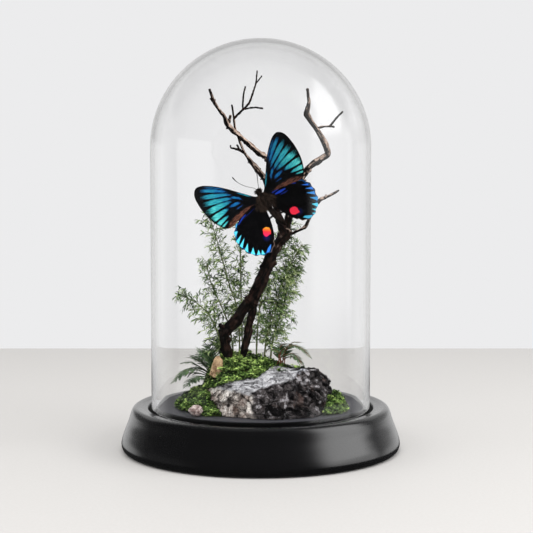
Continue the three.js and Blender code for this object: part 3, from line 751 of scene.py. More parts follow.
driftwood = {
    "driftwood_trunk": [
        (-6.9, 2, 101.5, 3.4), (-2.4, 2, 110, 3.6), (0.6, 2, 115.5, 3.6), (4.1, 2, 124, 3.6),
        (7.1, 2, 132.5, 3.4), (12.1, 2.5, 141, 3.4), (16.1, 3, 147, 3.4), (18.1, 3.5, 151, 3.2),
    ],
    "driftwood_left_leg": [
        (-21.4, 6, 57.5, 2.6), (-22.4, 6, 64, 2.7), (-24.4, 6, 71.5, 3.3), (-24.8, 6, 78, 3.9),
        (-21.6, 6, 83, 3.7), (-15.8, 5, 89.2, 3.4), (-9.9, 3, 98, 3.3), (-6.4, 2, 102.5, 3.3),
    ],
    "driftwood_right_leg": [
        (-13.3, 4, 57.8, 1.8), (-12.4, 4, 62.5, 1.9), (-10.9, 4, 70, 2.2), (-9.4, 4, 77.5, 2.3),
        (-7.4, 4, 86.5, 2.3), (-5.9, 3.5, 94, 2.3), (-4.9, 2.5, 100.5, 2.3),
    ],
    "driftwood_right_limb": [
        (17.8, 3.5, 149, 2.4), (19.1, 4.5, 157.5, 2.2), (20.6, 6, 165.5, 2.1), (23.6, 7, 178, 2),
        (28.1, 8, 185.5, 2), (32.6, 8, 192.5, 2), (37.6, 8, 196.5, 2), (42.6, 8, 199.5, 2),
        (45.6, 8, 202.5, 2), (45.6, 8, 205.5, 1.8), (43.6, 8, 210.5, 1.8), (40.6, 8, 215.5, 1.8),
        (37.6, 8, 220.5, 1.7), (34.1, 8, 225.5, 1.7), (31.9, 8, 230.5, 1.7), (32.4, 8, 234, 1.7),
        (33, 8, 238, 1.1), (32.6, 8, 242, 0.9), (32.1, 8, 247, 0.85),
    ],
    "driftwood_left_prong": [
        (17.1, 2.5, 148, 2.4), (14.1, 2.4, 154.5, 2.3), (11.6, 2.5, 163, 2.2), (9.3, 2.6, 171.5, 2.1),
        (8.1, 3, 177, 2.1),
    ],
    "driftwood_left_limb": [
        (8.6, 3, 175, 1.9), (7.1, 4, 187.5, 1.8), (4.6, 5, 198.5, 1.7), (-1.4, 5, 203.5, 1.7),
        (-9.4, 5, 210, 1.6), (-14.9, 5, 215, 1.45), (-18.9, 5, 218.5, 1.6), (-23.1, 5, 223.2, 1.8),
        (-24.9, 5, 228, 1.1), (-28.9, 5, 233, 1), (-31.9, 5, 238, 0.95), (-34.9, 5, 246.5, 0.85),
    ],
    "driftwood_inner_limb": [
        (9.1, 3.5, 172, 1.9), (6.1, 6, 179.5, 1.9), (2.6, 8, 185.5, 1.8), (-3.4, 8.5, 193, 1.7),
        (-7.4, 8.5, 198, 1.2), (-10.4, 8.5, 202, 0.8), (-13.4, 9, 208.5, 0.75), (-15.4, 9, 214, 0.7),
        (-17.4, 9, 219, 0.7), (-18.4, 9, 227, 0.65), (-19.9, 9, 236, 0.6),
    ],
    "driftwood_low_twig": [
        (17.6, 4, 147, 1), (21.6, 5, 148, 0.95), (26.1, 6, 150, 0.9), (30.6, 7, 152.5, 1),
        (32.4, 7.5, 155.5, 1.05), (34.6, 8, 161, 1.1), (38.1, 9, 168, 1.2), (42.1, 9, 171.5, 1.2),
        (48.1, 9, 174, 0.9), (54.1, 9, 177.5, 0.6),
    ],
    "driftwood_crook_twig": [
        (38.1, 8, 220, 0.75), (44.6, 8, 221.2, 0.65), (50.6, 8, 221, 0.6),
    ],
    "driftwood_crook_twig_fork": [
        (47.1, 8, 221, 0.5), (52.6, 8.5, 227.5, 0.45), (56.6, 9, 231.5, 0.4),
    ],
    "driftwood_knot_stub": [
        (-22.4, 5, 223, 1), (-21.2, 4.5, 225.5, 0.95), (-20.4, 4, 228.7, 0.7),
    ],
    "driftwood_tip_twig": [
        (-30.4, 5, 235.5, 0.5), (-32.9, 4, 238.5, 0.5), (-34.4, 3.5, 240.2, 0.4),
    ],
    "driftwood_side_twig": [
        (-10.4, 8.5, 202, 0.5), (-13.9, 8.2, 204.5, 0.5), (-17.9, 8, 206, 0.45),
        (-20.4, 8, 206.6, 0.4), (-20.8, 8, 208.3, 0.35),
    ],
    "driftwood_side_twig_fork": [
        (-13.7, 8.2, 204.2, 0.5), (-15, 8.1, 206.3, 0.5), (-16.4, 8, 208.7, 0.4),
    ],
    "driftwood_top_twig": [
        (-18.4, 9, 226.7, 0.55), (-12.4, 9.5, 232.5, 0.5), (-8.4, 10, 236.5, 0.5),
        (-5.4, 10, 244, 0.4), (-3.4, 10, 250.5, 0.35), (-2.4, 10, 259.5, 0.3),
    ],
    "driftwood_top_twig_fork": [
        (-3.5, 10, 250.1, 0.3), (-1.4, 10.5, 253, 0.3), (0.9, 11, 255.8, 0.3),
    ],
    "driftwood_top_twig_left": [
        (-12.3, 9.5, 232.5, 0.4), (-11.8, 10, 242.5, 0.4), (-10.4, 10.5, 248.7, 0.35),
    ],
    "driftwood_top_twig_right": [
        (-11.9, 9.5, 232.9, 0.4), (-4.4, 9, 234.1, 0.4), (1.6, 9, 233.5, 0.35),
    ],
}
canes = {
    "bamboo_front_left": [
        (-15.5, 22, 56, 0.6), (-15, 22, 71.5, 0.6), (-17, 22, 96, 0.5), (-21.5, 22, 109.5, 0.5),
        (-28, 22, 132, 0.4), (-32.5, 22, 148, 0.35), (-37, 22, 160.5, 0.3),
    ],
    "bamboo_middle": [
        (-12.5, 27, 56, 0.6), (-13.5, 27, 80, 0.55), (-14, 27, 107, 0.5), (-14.5, 27, 135, 0.4),
        (-14.5, 27, 153, 0.3),
    ],
    "bamboo_right_inner": [
        (-3, 20, 54, 0.6), (-3, 20, 65, 0.6), (-2.5, 20, 76, 0.6), (-1.5, 20, 89.5, 0.55),
        (1, 20, 104, 0.5), (6, 20, 119.5, 0.45), (12.5, 21, 135.5, 0.4), (21, 22, 152, 0.3),
    ],
    "bamboo_right_outer": [
        (2, 24, 54, 0.6), (3, 24, 65, 0.6), (4.5, 24, 75.5, 0.6), (8, 24, 90, 0.5),
        (13, 25, 105, 0.45), (20, 25, 123, 0.4), (29, 25, 139, 0.3),
    ],
    "bamboo_right_short": [
        (6.5, 28, 53, 0.6), (8, 28, 68, 0.6), (11, 28, 80, 0.5), (15.5, 29, 94, 0.45),
        (20, 30, 110, 0.4), (25, 30, 122, 0.3),
    ],
    "bamboo_low_left": [
        (-24.5, 17, 55, 0.6), (-28, 17, 69, 0.6), (-32.5, 17, 84, 0.5), (-39, 17, 93.5, 0.45),
        (-46, 17, 99.5, 0.4), (-53.5, 17, 103, 0.35), (-58, 17, 105.5, 0.3),
    ],
    "bamboo_back_left": [
        (-19.5, 30, 52, 0.6), (-20.5, 30, 70.5, 0.55), (-24.5, 30, 86.5, 0.5), (-31, 30, 101.5, 0.45),
        (-36, 30, 113.5, 0.4), (-38.5, 30, 126.5, 0.3),
    ],
}
fronds = {
    "fern_left_low": [
        (-34.5, 4, 49), (-44.5, 2, 52), (-53.5, 0, 51), (-61, -3, 46),
    ],
    "fern_left_middle": [
        (-34, 6, 50), (-43.5, 5, 56.5), (-49, 4, 59), (-55, 2, 58.5),
    ],
    "fern_left_high": [
        (-33.5, 8, 51), (-40, 10, 57.5), (-44.5, 12, 61), (-49, 14, 62.5),
    ],
    "fern_left_back": [
        (-33, 11, 51.5), (-37, 16, 58), (-40.5, 20, 62), (-43.5, 24, 63.5),
    ],
    "fern_left_front": [
        (-35, 1.5, 48), (-41.5, -4, 49), (-47, -9, 48), (-51.5, -13, 44.5),
    ],
    "fern_back_left": [
        (-27, 24, 57), (-31.5, 24, 67), (-35, 23, 69), (-40, 22, 65),
    ],
    "fern_back_high": [
        (-27, 28, 56.5), (-30, 31, 67), (-34, 34, 72), (-38, 36, 70.5),
    ],
    "fern_right_tall": [
        (14, 9, 55), (14, 8.5, 66), (21.5, 6, 70.5), (29, 2, 68.5), (34, -2, 63.5),
    ],
    "fern_right_low": [
        (10.5, 6.5, 56), (15, 5, 63), (22.5, 2, 65), (28.5, -2, 59.5),
    ],
    "fern_right_inner": [
        (12.5, 13, 55.5), (12, 15, 64.5), (6.5, 17, 66.5), (1.5, 16, 63.5),
    ],
    "fern_right_back": [
        (16.5, 13, 54.5), (18, 19, 65.5), (24, 24, 67.5), (31.5, 29, 62.5),
    ],
}


woodLook = {
    "ridges": 0.2,
    "bumps": 0.48,
    "thicken": 1.4,  # of the thinnest twigs
    "collar": 0.3,  # how much a limb swells where it leaves its parent
    "dark": shade(8, 6, 6),
    "brown": shade(44, 28, 22),
    "tan": shade(184, 163, 149),
    "wornDark": shade(92, 74, 64),
    "speck": shade(14, 11, 10),
    "grooveShade": shade(10, 8, 8),
    "paintedLightFrom": (0.55, -0.2, 0.8),  # painted light: the direction of the light that the pale wood is painted to face
}
paleLimbs = {  # how much pale wood each limb shows, weathered and painted as lit: near its foot, in the middle, at its tip
    "driftwood_right_limb": (0.75, 0.8, 0.1),
    "driftwood_left_limb": (0.36, 0.45, 0.1),
    "driftwood_inner_limb": (0.36, 0.34, 0.08),
    "driftwood_low_twig": (0.45, 0.55, 0.4),
    "driftwood_left_prong": (0.05, 0.07, 0.12),
    "driftwood_trunk": (0.06, 0.1, 0.2),
    "driftwood_knot_stub": (0.8, 0.9, 0.9),
    "driftwood_crook_twig": (0.3, 0.3, 0.1),
}


def barkFinish(look):
    finish, start = newFinish("driftwoodBark")
    grain = meshValue(start, "grain", "Vector")
    pale, deep = meshValues(start, "pale", "deep")
    facing = start.add("ShaderNodeNewGeometry", out="Normal")
    toLight = {0: facing, 1: look["paintedLightFrom"]}
    lit = facing.add("ShaderNodeVectorMath", {"operation": "DOT_PRODUCT"}, toLight, out="Value")
    streaks = noise(stretched(grain, (1.0, 1.0, 0.22)), 0.6, 5, 0.7)
    broad = noise(grain, 0.16)
    fine = noise(grain, 1.5, 4, 0.7)
    # painted light: the bark is painted a little lighter where it faces the light
    bark = fade(streaks + (broad - 0.5) * 0.4 + lit * 0.12, 0.46, 0.66)
    bark = mixShades(bark, look["dark"], look["brown"])
    wornAndLit = mixShades(fade(streaks, 0.4, 0.6), look["wornDark"], look["tan"])
    # painted light: the pale worn wood shows where a weathered limb faces the light
    share = fade(lit * 1.5 + pale * 0.6 + (streaks - 0.5) * 2.4 + (broad - 0.5) * 0.6, 0.72, 1.05)
    share = share * fade(pale, 0.05, 0.3)
    colour = mixShades(share, bark, wornAndLit)
    colour = mixShades(fade(fine, 0.56, 0.66) * (0.85 - share * 0.3), colour, look["speck"])
    # painted shade: the bark is painted darker in its deep grooves
    colour = mixShades(deep * 0.9, colour, look["grooveShade"])
    finishSurface(start, {
        "Base Color": colour,
        "Roughness": 0.68 + fine * 0.25,
        "Specular IOR Level": 0.25,
        "Normal": relief(streaks * 0.6 + fine * 0.4, 0.8, 1.0),
    })
    return finish


stubs = {  # broken side shoots: share of the limb's length, degrees round it, length, radius
    "driftwood_left_leg": [(0.3, 20, 2.0, 0.8)],
    "driftwood_trunk": [(0.42, 20, 2.4, 0.8), (0.78, 200, 2.2, 0.8)],
    "driftwood_right_leg": [(0.3, 180, 2.2, 0.7), (0.66, 10, 1.8, 0.6)],
    "driftwood_right_limb": [
        (0.34, 170, 3.2, 0.7), (0.5, 20, 2.0, 0.6), (0.6, 10, 1.8, 0.7), (0.82, 200, 1.8, 0.5),
    ],
    "driftwood_left_limb": [
        (0.3, 30, 2.0, 0.5), (0.52, 10, 1.8, 0.5), (0.66, 30, 2.4, 0.7), (0.9, 190, 1.6, 0.4),
    ],
    "driftwood_inner_limb": [
        (0.12, 200, 3.6, 0.8), (0.22, 20, 2.6, 0.5), (0.3, 190, 2.2, 0.5), (0.42, 10, 2.2, 0.4),
    ],
    "driftwood_low_twig": [(0.45, 190, 1.6, 0.4), (0.8, 20, 1.8, 0.35)],
}
spurs = {  # broken ends with a course of their own
    "driftwood_left_leg": [
        (-22.6, 6, 79.5, 2.3), (-25.4, 5.6, 82, 2.0), (-27.4, 5.4, 84.2, 1.3), (-28.4, 5.3, 85.4, 0.7),
    ],
}


def makeDriftwood(look):
    finish = barkFinish(look)
    for seed, (name, path) in enumerate(driftwood.items()):
        thick = max(spot[3] for spot in path)
        spacing = min(0.5, thick * 0.3)
        fine = {}

        def bark(radius, grain, angle):
            along = grain[..., 2]
            around = [np.cos(angle) + 0 * along, np.sin(angle) + 0 * along]
            flat = np.stack([*around, along / thick * 0.16], axis=-1).reshape(-1, 3)
            ridge = 1 - 2 * np.abs(layeredNoise(flat, 0.55, 3, seed * 7))
            flat[:, 2] *= 4
            bump = layeredNoise(flat, 1.3, 3, seed * 7 + 3)
            knot = np.clip(layeredNoise(flat, 0.9, 2, seed * 7 + 5) - 0.3, 0, 1) * 1.8
            # how deep the groove is, for the painted shade in it
            fine["deep"] = np.clip(-ridge * 1.6 - 0.2, 0, 1)
            ridge, bump, knot = (part.reshape(along.shape) for part in (ridge, bump, knot))
            swell = 1 + look["collar"] * np.exp(-along / (thick * 1.3))
            swell = swell * (look["thicken"] if thick < 0.75 else 1)
            return radius * swell * (0.96 + look["ridges"] * ridge + look["bumps"] * bump + knot * 0.5)

        def shoot(route, spacing, sides, tones):  # tones are four, from foot to tip
            points, faceSets, values = tube(route, spacing, sides, bark)
            share = values["grain"][:, 2] / values["grain"][-1, 2]
            values["deep"] = np.concatenate([fine["deep"], [0, 0]])
            values["pale"] = np.interp(share, (0.05, 0.3, 0.65, 1), tones)
            return points, faceSets, values

        sides = 28 if thick > 1.5 else 14 if thick > 0.7 else 10
        pale = paleLimbs.get(name, (0, 0, 0))
        parts = [shoot(path, spacing, sides, (0, *pale))]
        samples, _ = alongPath(path, 0.5)
        heading, side, back = frames(samples[:, :3])
        for place, turn, length, radius in stubs.get(name, []):
            row = int(place * (len(samples) - 1))
            out = math.cos(math.radians(turn)) * side[row] + math.sin(math.radians(turn)) * back[row] * 0.5
            aim = unit(out + heading[row] * 0.55)
            start = samples[row, :3] + aim * samples[row, 3] * 0.3
            steps = (0, 0.4, 0.8, 1)
            route = [(*(start + aim * length * step), radius * (1.25 - 0.6 * step)) for step in steps]
            parts.append(shoot(route, 0.4, 12, [pale[1] * 0.6] * 4))
        if name in spurs:
            parts.append(shoot(spurs[name], 0.4, 16, [0] * 4))
        addPiece(name + "_bark", joinParts(parts), finish, "dark_driftwood", [name])


# Bamboo: each cane has joints, and fine twigs that carry rows of narrow leaves

bambooLook = {
    "jointEvery": 7.5,
    "firstTwigs": 0.16,  # share of the cane's length that stays bare
    "twigEvery": 2.9,
    "twig": (6, 14.5),
    "leaf": (2.8, 4.6),
    "leafEvery": 1.25,
    "leafBreadth": 0.2,
    "farthest": 65,  # from the axis, clear of the glass
    "lowest": 50,
    "light": shade(190, 204, 146),
    "middle": shade(108, 136, 82),
    "deep": shade(42, 62, 36),
    "dryTip": shade(176, 160, 100),
    "tones": (0.85, 0.6, 0.1, 0.3),  # a leaf's own tint, patches and tip lighten it, and the last darkens it
    "patches": (16, 2),
    "ribs": (0.35, 0.08),
    "cane": (shade(84, 98, 60), shade(136, 148, 98)),
    "joint": shade(128, 112, 74),
}
lushness = {
    "bamboo_right_outer": 2.3, "bamboo_right_inner": 1.9, "bamboo_right_short": 2.2, "bamboo_low_left": 1.45,
    "bamboo_front_left": 1.1, "bamboo_back_left": 1.1, "bamboo_middle": 1.1,
}


def stalkFinish(name, scale, gloss, paint):  # paint makes the colour from the shader start and the streaks
    finish, start = newFinish(name)
    streaks = noise(meshValue(start, "grain", "Vector"), scale)
    sockets = {"Base Color": paint(start, streaks), "Roughness": gloss + streaks * 0.2}
    finishSurface(start, {**sockets, "Normal": relief(streaks, 0.1, 0.4)})
    return finish


def leafFinish(name, look):
    finish, start = newFinish(name)
    spot = objectSpot(start)
    tint, reach = meshValues(start, "tint", "reach")
    ownTone, patchTone, tipTone, darker = look["tones"]
    tone = tint * ownTone + grainNoise(spot, *look["patches"]) * patchTone + reach * tipTone - darker
    colour = ramp(tone, (0.1, look["deep"]), (0.5, look["middle"]), (0.95, look["light"]))
    if "dryTip" in look:
        colour = mixShades(fade(reach, 0.86, 1.0) * fade(tint, 0.6, 0.8) * 0.7, colour, look["dryTip"])
    ribSize, ribDepth = look["ribs"]
    finishSurface(start, {
        "Base Color": colour,
        "Roughness": 0.5 + tint * 0.15,
        "Specular IOR Level": 0.3,
        "Normal": relief(grainNoise(spot, ribSize, 2), ribDepth, 0.4),
    })
    return finish


def addJoints(radius, grain, angle):
    beat = grain[..., 2] / bambooLook["jointEvery"]
    nearest = np.abs(beat - np.round(beat)) * bambooLook["jointEvery"]
    return radius * (1 + 0.3 * np.exp(-((nearest / 0.5) ** 2)))


def caneTwigs(path, look, lush):
    samples, along = alongPath(path, 0.5)
    heading, side, back = frames(samples[:, :3])
    total = along[-1]
    twigParts = []
    feet, headings, tops, lengths = [], [], [], []
    reach = look["firstTwigs"] * total
    turn = chance.random() * 6.28
    while reach < total:
        spot = np.searchsorted(along, reach)
        share = reach / total
        for _ in range(3 if share > 0.3 else 2):
            turn += 2.4 + chance.normal(0, 0.5)
            outward = math.cos(turn) * side[spot] + math.sin(turn) * back[spot] * 0.8
            length = chance.uniform(*look["twig"]) * (1.0 - 0.4 * share)
            rise = chance.uniform(-0.1, 1.2)
            aim = unit(outward + heading[spot] * rise)
            steps = np.linspace(0, 1, 5)[:, None]
            sway = unit(np.cross(aim, chance.normal(0, 1, 3))) * length * 0.12
            line = samples[spot, :3] + aim * steps * length + np.sin(steps * 3) * sway
            line = line + np.array([0, 0, -0.2]) * steps**2 * length
            twigPath = [(*point, 0.16 - 0.08 * step) for point, step in zip(line, steps[:, 0])]
            twigParts.append(tube(twigPath, 2.5, 3))
            twigParts[-1][2]["joint"] = np.zeros(len(twigParts[-1][0]))
            twigHeading = unit(np.gradient(line, axis=0))
            here = 0.12
            while here < 1.02:
                at = min(here, 1)
                foot = np.array([np.interp(at, steps[:, 0], line[:, axis]) for axis in range(3)])
                forward = twigHeading[min(4, int(at * 4))]
                for _ in range(3 if here > 0.9 else 2 if chance.random() < 0.5 else 1):
                    scatter = unit(chance.normal(0, 1, 3)) * chance.uniform(0.5, 1.3)
                    feet.append(foot + chance.normal(0, 0.25, 3))
                    headings.append(forward + scatter + np.array([0, 0, -0.15]))
                    tops.append(np.array([0, -0.3, 1]) + chance.normal(0, 0.6, 3))
                    lengths.append(chance.uniform(*look["leaf"]))
                here += look["leafEvery"] / length * chance.uniform(0.7, 1.3)
        reach += look["twigEvery"] / lush * chance.uniform(0.8, 1.2)
    lengths = np.array(lengths)
    feet = np.array(feet)
    away = np.hypot(feet[:, 0], feet[:, 1])
    kept = (away < look["farthest"]) & (feet[:, 2] > look["lowest"])
    widths = (0.25, 1.0, 0.8, 0.03)
    breadths = lengths * look["leafBreadth"]
    shapes = (part[kept] for part in (feet, np.array(headings), np.array(tops), lengths, breadths))
    return twigParts, leafSet(*shapes, widths, 0.25, 0.22)


def makeBamboo(look):
    def paint(start, streaks):
        colour = mixShades(fade(streaks, 0.35, 0.65), *look["cane"])
        return mixShades(meshValue(start, "joint") * 0.7, colour, look["joint"])

    caneSkin, leafSkin = stalkFinish("bambooCane", 0.6, 0.42, paint), leafFinish("bambooLeaf", look)
    for name, path in canes.items():
        points, faceSets, values = tube(path, 0.6, 10, addJoints)
        beat = values["grain"][:, 2] / look["jointEvery"]
        values["joint"] = np.exp(-(((beat - np.round(beat)) * look["jointEvery"] / 0.6) ** 2))
        twigs, leaves = caneTwigs(path, look, lushness[name])
        made = joinParts([(points, faceSets, values), *twigs])
        addPiece(name + "_cane", made, caneSkin, "green_cane", [name])
        addPiece(name + "_leaves", leaves, leafSkin, "green_cane")


# Ferns: a stalk with two rows of toothed leaflets that shorten towards both ends

fernLook = {
    "leafletEvery": 1.25,
    "leaflet": 7.5,
    "breadth": 0.17,
    "light": shade(112, 132, 88),
    "middle": shade(58, 82, 52),
    "deep": shade(24, 38, 25),
    "tones": (0.45, 0.7, 0.2, 0.2),
    "patches": (9, 3),
    "ribs": (0.4, 0.1),
    "stalk": (shade(74, 84, 52), shade(48, 56, 34)),
    "redStalk": shade(124, 66, 46),
    "teeth": (0.5, 1.0, 0.6, 0.95, 0.5, 0.75, 0.35, 0.02),
}
extraFronds = {  # more fronds of each clump, drawn with the leaflets: [x, y, z]
    "fern_left_low": [
        [(-34, 2, 49), (-43, -2, 54.5), (-52, -6, 54), (-58, -9, 50)],
        [(-34, 8, 50), (-44, 10, 54), (-52, 11, 53), (-58, 11, 49.5)],
    ],
    "fern_left_middle": [[(-34, 5, 50), (-40, 3, 58), (-45, 1, 62), (-50, -1, 63)]],
    "fern_left_high": [[(-33, 7, 51), (-37, 8, 60), (-40, 9, 65), (-44, 10, 68)]],
    "fern_left_back": [[(-32, 10, 52), (-34, 13, 61), (-36, 16, 67), (-39, 19, 70)]],
    "fern_left_front": [[(-35, 0, 48), (-40, -7, 51), (-44, -12, 51), (-47, -16, 48.5)]],
    "fern_back_left": [[(-26, 22, 57), (-28, 20, 66), (-31, 18, 70), (-35, 16, 69)]],
    "fern_right_tall": [[(15, 11, 55), (17, 12, 66), (22, 12, 71.5), (28, 11, 72)]],
    "fern_right_low": [[(12, 7, 56), (18, 4, 62.5), (24.5, 0, 62.5), (29, -4, 58)]],
    "fern_right_back": [[(15, 14, 55), (13, 20, 66), (17, 25, 69), (22, 29, 68)]],
}


def frondLeaflets(path, look, reachOut):
    teeth = look["teeth"]
    samples, along = alongPath(path, look["leafletEvery"])
    heading = frames(samples[:, :3])[0]
    share = along / along[-1]
    kept = share > 0.2
    swell = np.sin(np.clip((share - 0.12) / 0.9, 0, 1) ** 0.8 * 2.75 + 0.18)
    lengths = reachOut * np.clip(swell, 0.16, 1)
    upward = unit(np.cross(unit(np.cross(heading, [0, 0, 1])), heading))
    flank = unit(np.cross(heading, upward))
    parts = []
    for turn in (-1, 1):
        aim = flank * turn + heading * 0.62 + upward * 0.1 + chance.normal(0, 0.08, heading.shape)
        size = (lengths * chance.uniform(0.85, 1.1, len(lengths)))[kept]
        places = (samples[kept, :3], aim[kept], upward[kept])
        parts.append(leafSet(*places, size, size * look["breadth"] + 0.2, teeth, 0.2, 0.2))
    places = (samples[-1:, :3], heading[-1:], upward[-1:])
    tip = leafSet(*places, np.array([2.4]), np.array([0.7]), teeth, 0.2, 0.1)
    return [*parts, tip]


def makeFerns(look):
    def paint(start, streaks):
        return mixShades(meshValue(start, "red"), mixShades(streaks, *look["stalk"]), look["redStalk"])

    stalkSkin, leafSkin = stalkFinish("fernStalk", 0.8, 0.5, paint), leafFinish("fernLeaf", look)
    for name, path in fronds.items():
        stalks, leaflets = [], []
        for route in [path, *extraFronds.get(name, [])]:
            last = len(route) - 1
            tapered = [(*spot, 0.4 - 0.27 * index / last) for index, spot in enumerate(route)]
            points, faceSets, values = tube(tapered, 0.8, 8)
            values["red"] = np.full(len(points), 0.85 if "right" in name else 0.0)
            stalks.append((points, faceSets, values))
            share = 0.85 if "right" in name else 1.05
            leaflets += frondLeaflets(tapered, look, look["leaflet"] * share)
        addPiece(name + "_stalk", joinParts(stalks), stalkSkin, "fern_stalk", [name])
        addPiece(name + "_leaflets", joinParts(leaflets), leafSkin, "fern_stalk", smooth=False)


# Butterfly, drawn flat: x out along a right-hand wing, y towards the head, z out of its back

butterflyLook = {
    "lean": 33.5,  # degrees to the left
    "wingRise": 20,  # degrees the wings lift
    "thorax": (2.1, -3, 171.5),
    "wingMesh": 0.36,
    "wingSheet": 0.16,
    "arch": 0.55,
    "ripple": 0.12,
    "eyeSize": (0.95, 1.05),  # radius and half length
    "eyePlace": (1.55, 6.7, 0.5),
    "tailSweep": 3,
    "hairs": 5200,
    "rootHairs": 1900,
    "rays": [  # from the dull foot of a forewing's rays to their bright tips
        (0.0, shade(8, 44, 96)), (0.2, shade(16, 92, 152)), (0.42, shade(34, 134, 152)),
        (0.66, shade(58, 172, 176)), (0.86, shade(98, 212, 204)), (1.0, shade(148, 236, 224)),
    ],
    "forewingBlack": (shade(4, 5, 7), shade(18, 26, 32)),
    "umber": (shade(30, 18, 16), shade(112, 70, 56)),
    "vein": shade(5, 6, 8),
    "rim": shade(7, 7, 9),
    "forewingUnder": (shade(24, 20, 18), shade(64, 50, 42)),
    "marks": [  # pale to blue
        (0.0, shade(90, 222, 246)), (0.35, shade(62, 170, 236)),
        (0.8, shade(44, 112, 232)), (1.0, shade(28, 60, 190)),
    ],
    "spot": [  # red to orange
        (0.0, shade(244, 38, 92)), (0.45, shade(250, 52, 60)),
        (0.75, shade(252, 120, 40)), (1.0, shade(252, 176, 48)),
    ],
    "hindwingBlack": (shade(3, 3, 5), shade(14, 13, 18)),
    "hindwingUnder": (shade(18, 15, 16), shade(50, 40, 38)),
    "streak": shade(24, 66, 196),
    "piping": shade(26, 110, 190),
    "glow": shade(20, 26, 92),
    "fringe": shade(140, 116, 108),
    "fur": (shade(13, 10, 9), shade(66, 53, 44)),
    "eye": (shade(24, 14, 12), shade(58, 34, 26)),
    "limb": (shade(11, 9, 8), shade(42, 34, 30)),
}
lean = math.radians(butterflyLook["lean"])
acrossBody = np.array([math.cos(lean), 0, math.sin(lean)])
alongBody = np.array([-math.sin(lean), 0, math.cos(lean)])
outOfBack = np.array([0, -1, 0])
thorax = np.array(butterflyLook["thorax"], float)

bodyProfile = [
    (0.1, -23), (1, -22.4), (1.7, -20), (2.1, -16), (2.3, -11), (1.9, -7), (2.9, -4), (3.4, -0.5),
    (3.1, 2.5), (1.9, 4.4), (2.3, 6), (1.9, 7.8), (0.1, 8.6),
]
forewingEdge = [
    (2, 3.5), (4.5, 5), (8, 8.5), (13, 14), (18, 19.5), (22.5, 24), (27.5, 28), (32, 30.8), (36, 31.5),
    (38.8, 29.5), (40.4, 26), (41, 20), (40.7, 14.5), (39.8, 9), (38, 4), (36, 0), (33.5, -2.5),
    (31.5, -3.2), (28, -3), (24.5, -2.4), (17.5, -0.8), (9.5, 0.8), (4.5, 0.6), (2, 0.4),
]
hindwingFront = [(2, 1.5), (8, 2), (17.5, 0), (24, -2)]
hindwingMargin = [
    (24, -2), (28.5, -4.5), (32, -9), (33.3, -14), (32.7, -19), (30, -25.5), (26.5, -29), (22, -31.6),
    (17.5, -32.6), (13, -31), (9.5, -27),
]
hindwingInner = [(9.5, -27), (7, -22), (5, -17), (3.7, -12), (2.9, -7), (2.2, -4.5), (2, -1), (2, 1.5)]
scallops = {"count": 9, "depth": 0.8}

# teal rays of a forewing: [x, y, half width] along each, and how bright it is from 0 to 1
forewingRays = [
    ([(17.5, 18.2, 0.3), (23, 23.4, 0.7), (29, 27.8, 0.9), (34.5, 30.6, 0.7)], 0.15, 0.3),
    ([(16.6, 15.6, 0.4), (21.5, 19.8, 0.9), (27, 23.8, 1.3), (34, 28.0, 1.3), (37.5, 29.8, 1.0)], 0.2, 0.42),
    ([(14.6, 12.6, 0.4), (21.2, 17, 1.1), (29, 20.9, 1.7), (36.4, 24.1, 1.7), (39.6, 25.4, 1.4)], 0.22, 0.6),
    ([(14.3, 10.6, 0.4), (21.4, 13.7, 1), (30, 17.1, 1.9), (37.6, 19.2, 1.9), (40.8, 20, 1.7)], 0.24, 0.72),
    (
        [(17.2, 10.3, 0.4), (23, 11.7, 1.2), (30, 12.9, 2.1), (38.5, 13.5, 2.3), (41.5, 13.7, 2.2)],
        0.28, 0.95,
    ),
    ([(22.4, 8.4, 0.5), (28, 8.2, 1.5), (34, 7.9, 2.2), (39, 7.7, 2.3), (41, 7.6, 2.2)], 0.32, 1.05),
    ([(25.6, 4.6, 0.3), (31, 3.9, 1.1), (36.5, 3.0, 1.7), (39.6, 2.6, 1.6)], 0.45, 1.0),
    ([(28.2, 1.8, 0.15), (31.5, 1.1, 0.6), (35.4, 0, 0.9), (37, -0.5, 0.8)], 0.6, 0.95),
    ([(12.4, 6.4, 0.4), (15, 10.2, 0.9), (18.6, 13.2, 0.9), (21, 15, 0.6)], 0.16, 0.24),
    ([(13.6, 6.8, 0.5), (18.5, 8.0, 1.2), (23.6, 8.6, 1.0), (25.5, 8.6, 0.6)], 0.14, 0.24),
    ([(13.4, 5.0, 0.3), (19.5, 4.8, 0.6), (22, 4.6, 0.4)], 0.05, 0.1),
    ([(4.9, 4.6, 0.3), (8.6, 8.1, 0.5), (13.6, 13.6, 0.4), (16, 16.5, 0.3)], 0.6, 0.4),
]
forewingVeins = [
    [(6, 5), (14, 12), (20.5, 17.6), (34.4, 25.6)],
    [(6, 4.5), (16, 13), (20.7, 15), (36.7, 21.2)],
    [(6, 4), (15.8, 9.7), (20.1, 12), (37.5, 16.4)],
    [(6, 3.5), (19.3, 9.7), (39, 10.6)],
    [(6, 3), (16, 6), (25.6, 6.5), (37.6, 5.3)],
    [(6, 2.5), (16, 4), (27.1, 3.1), (34.6, 1.8)],
]
brownBand = [(8, 1.4), (12, 2.1), (16, 2.3), (23, 2.1), (29, 0.5), (31, -1.2), (33.4, -2.6)]

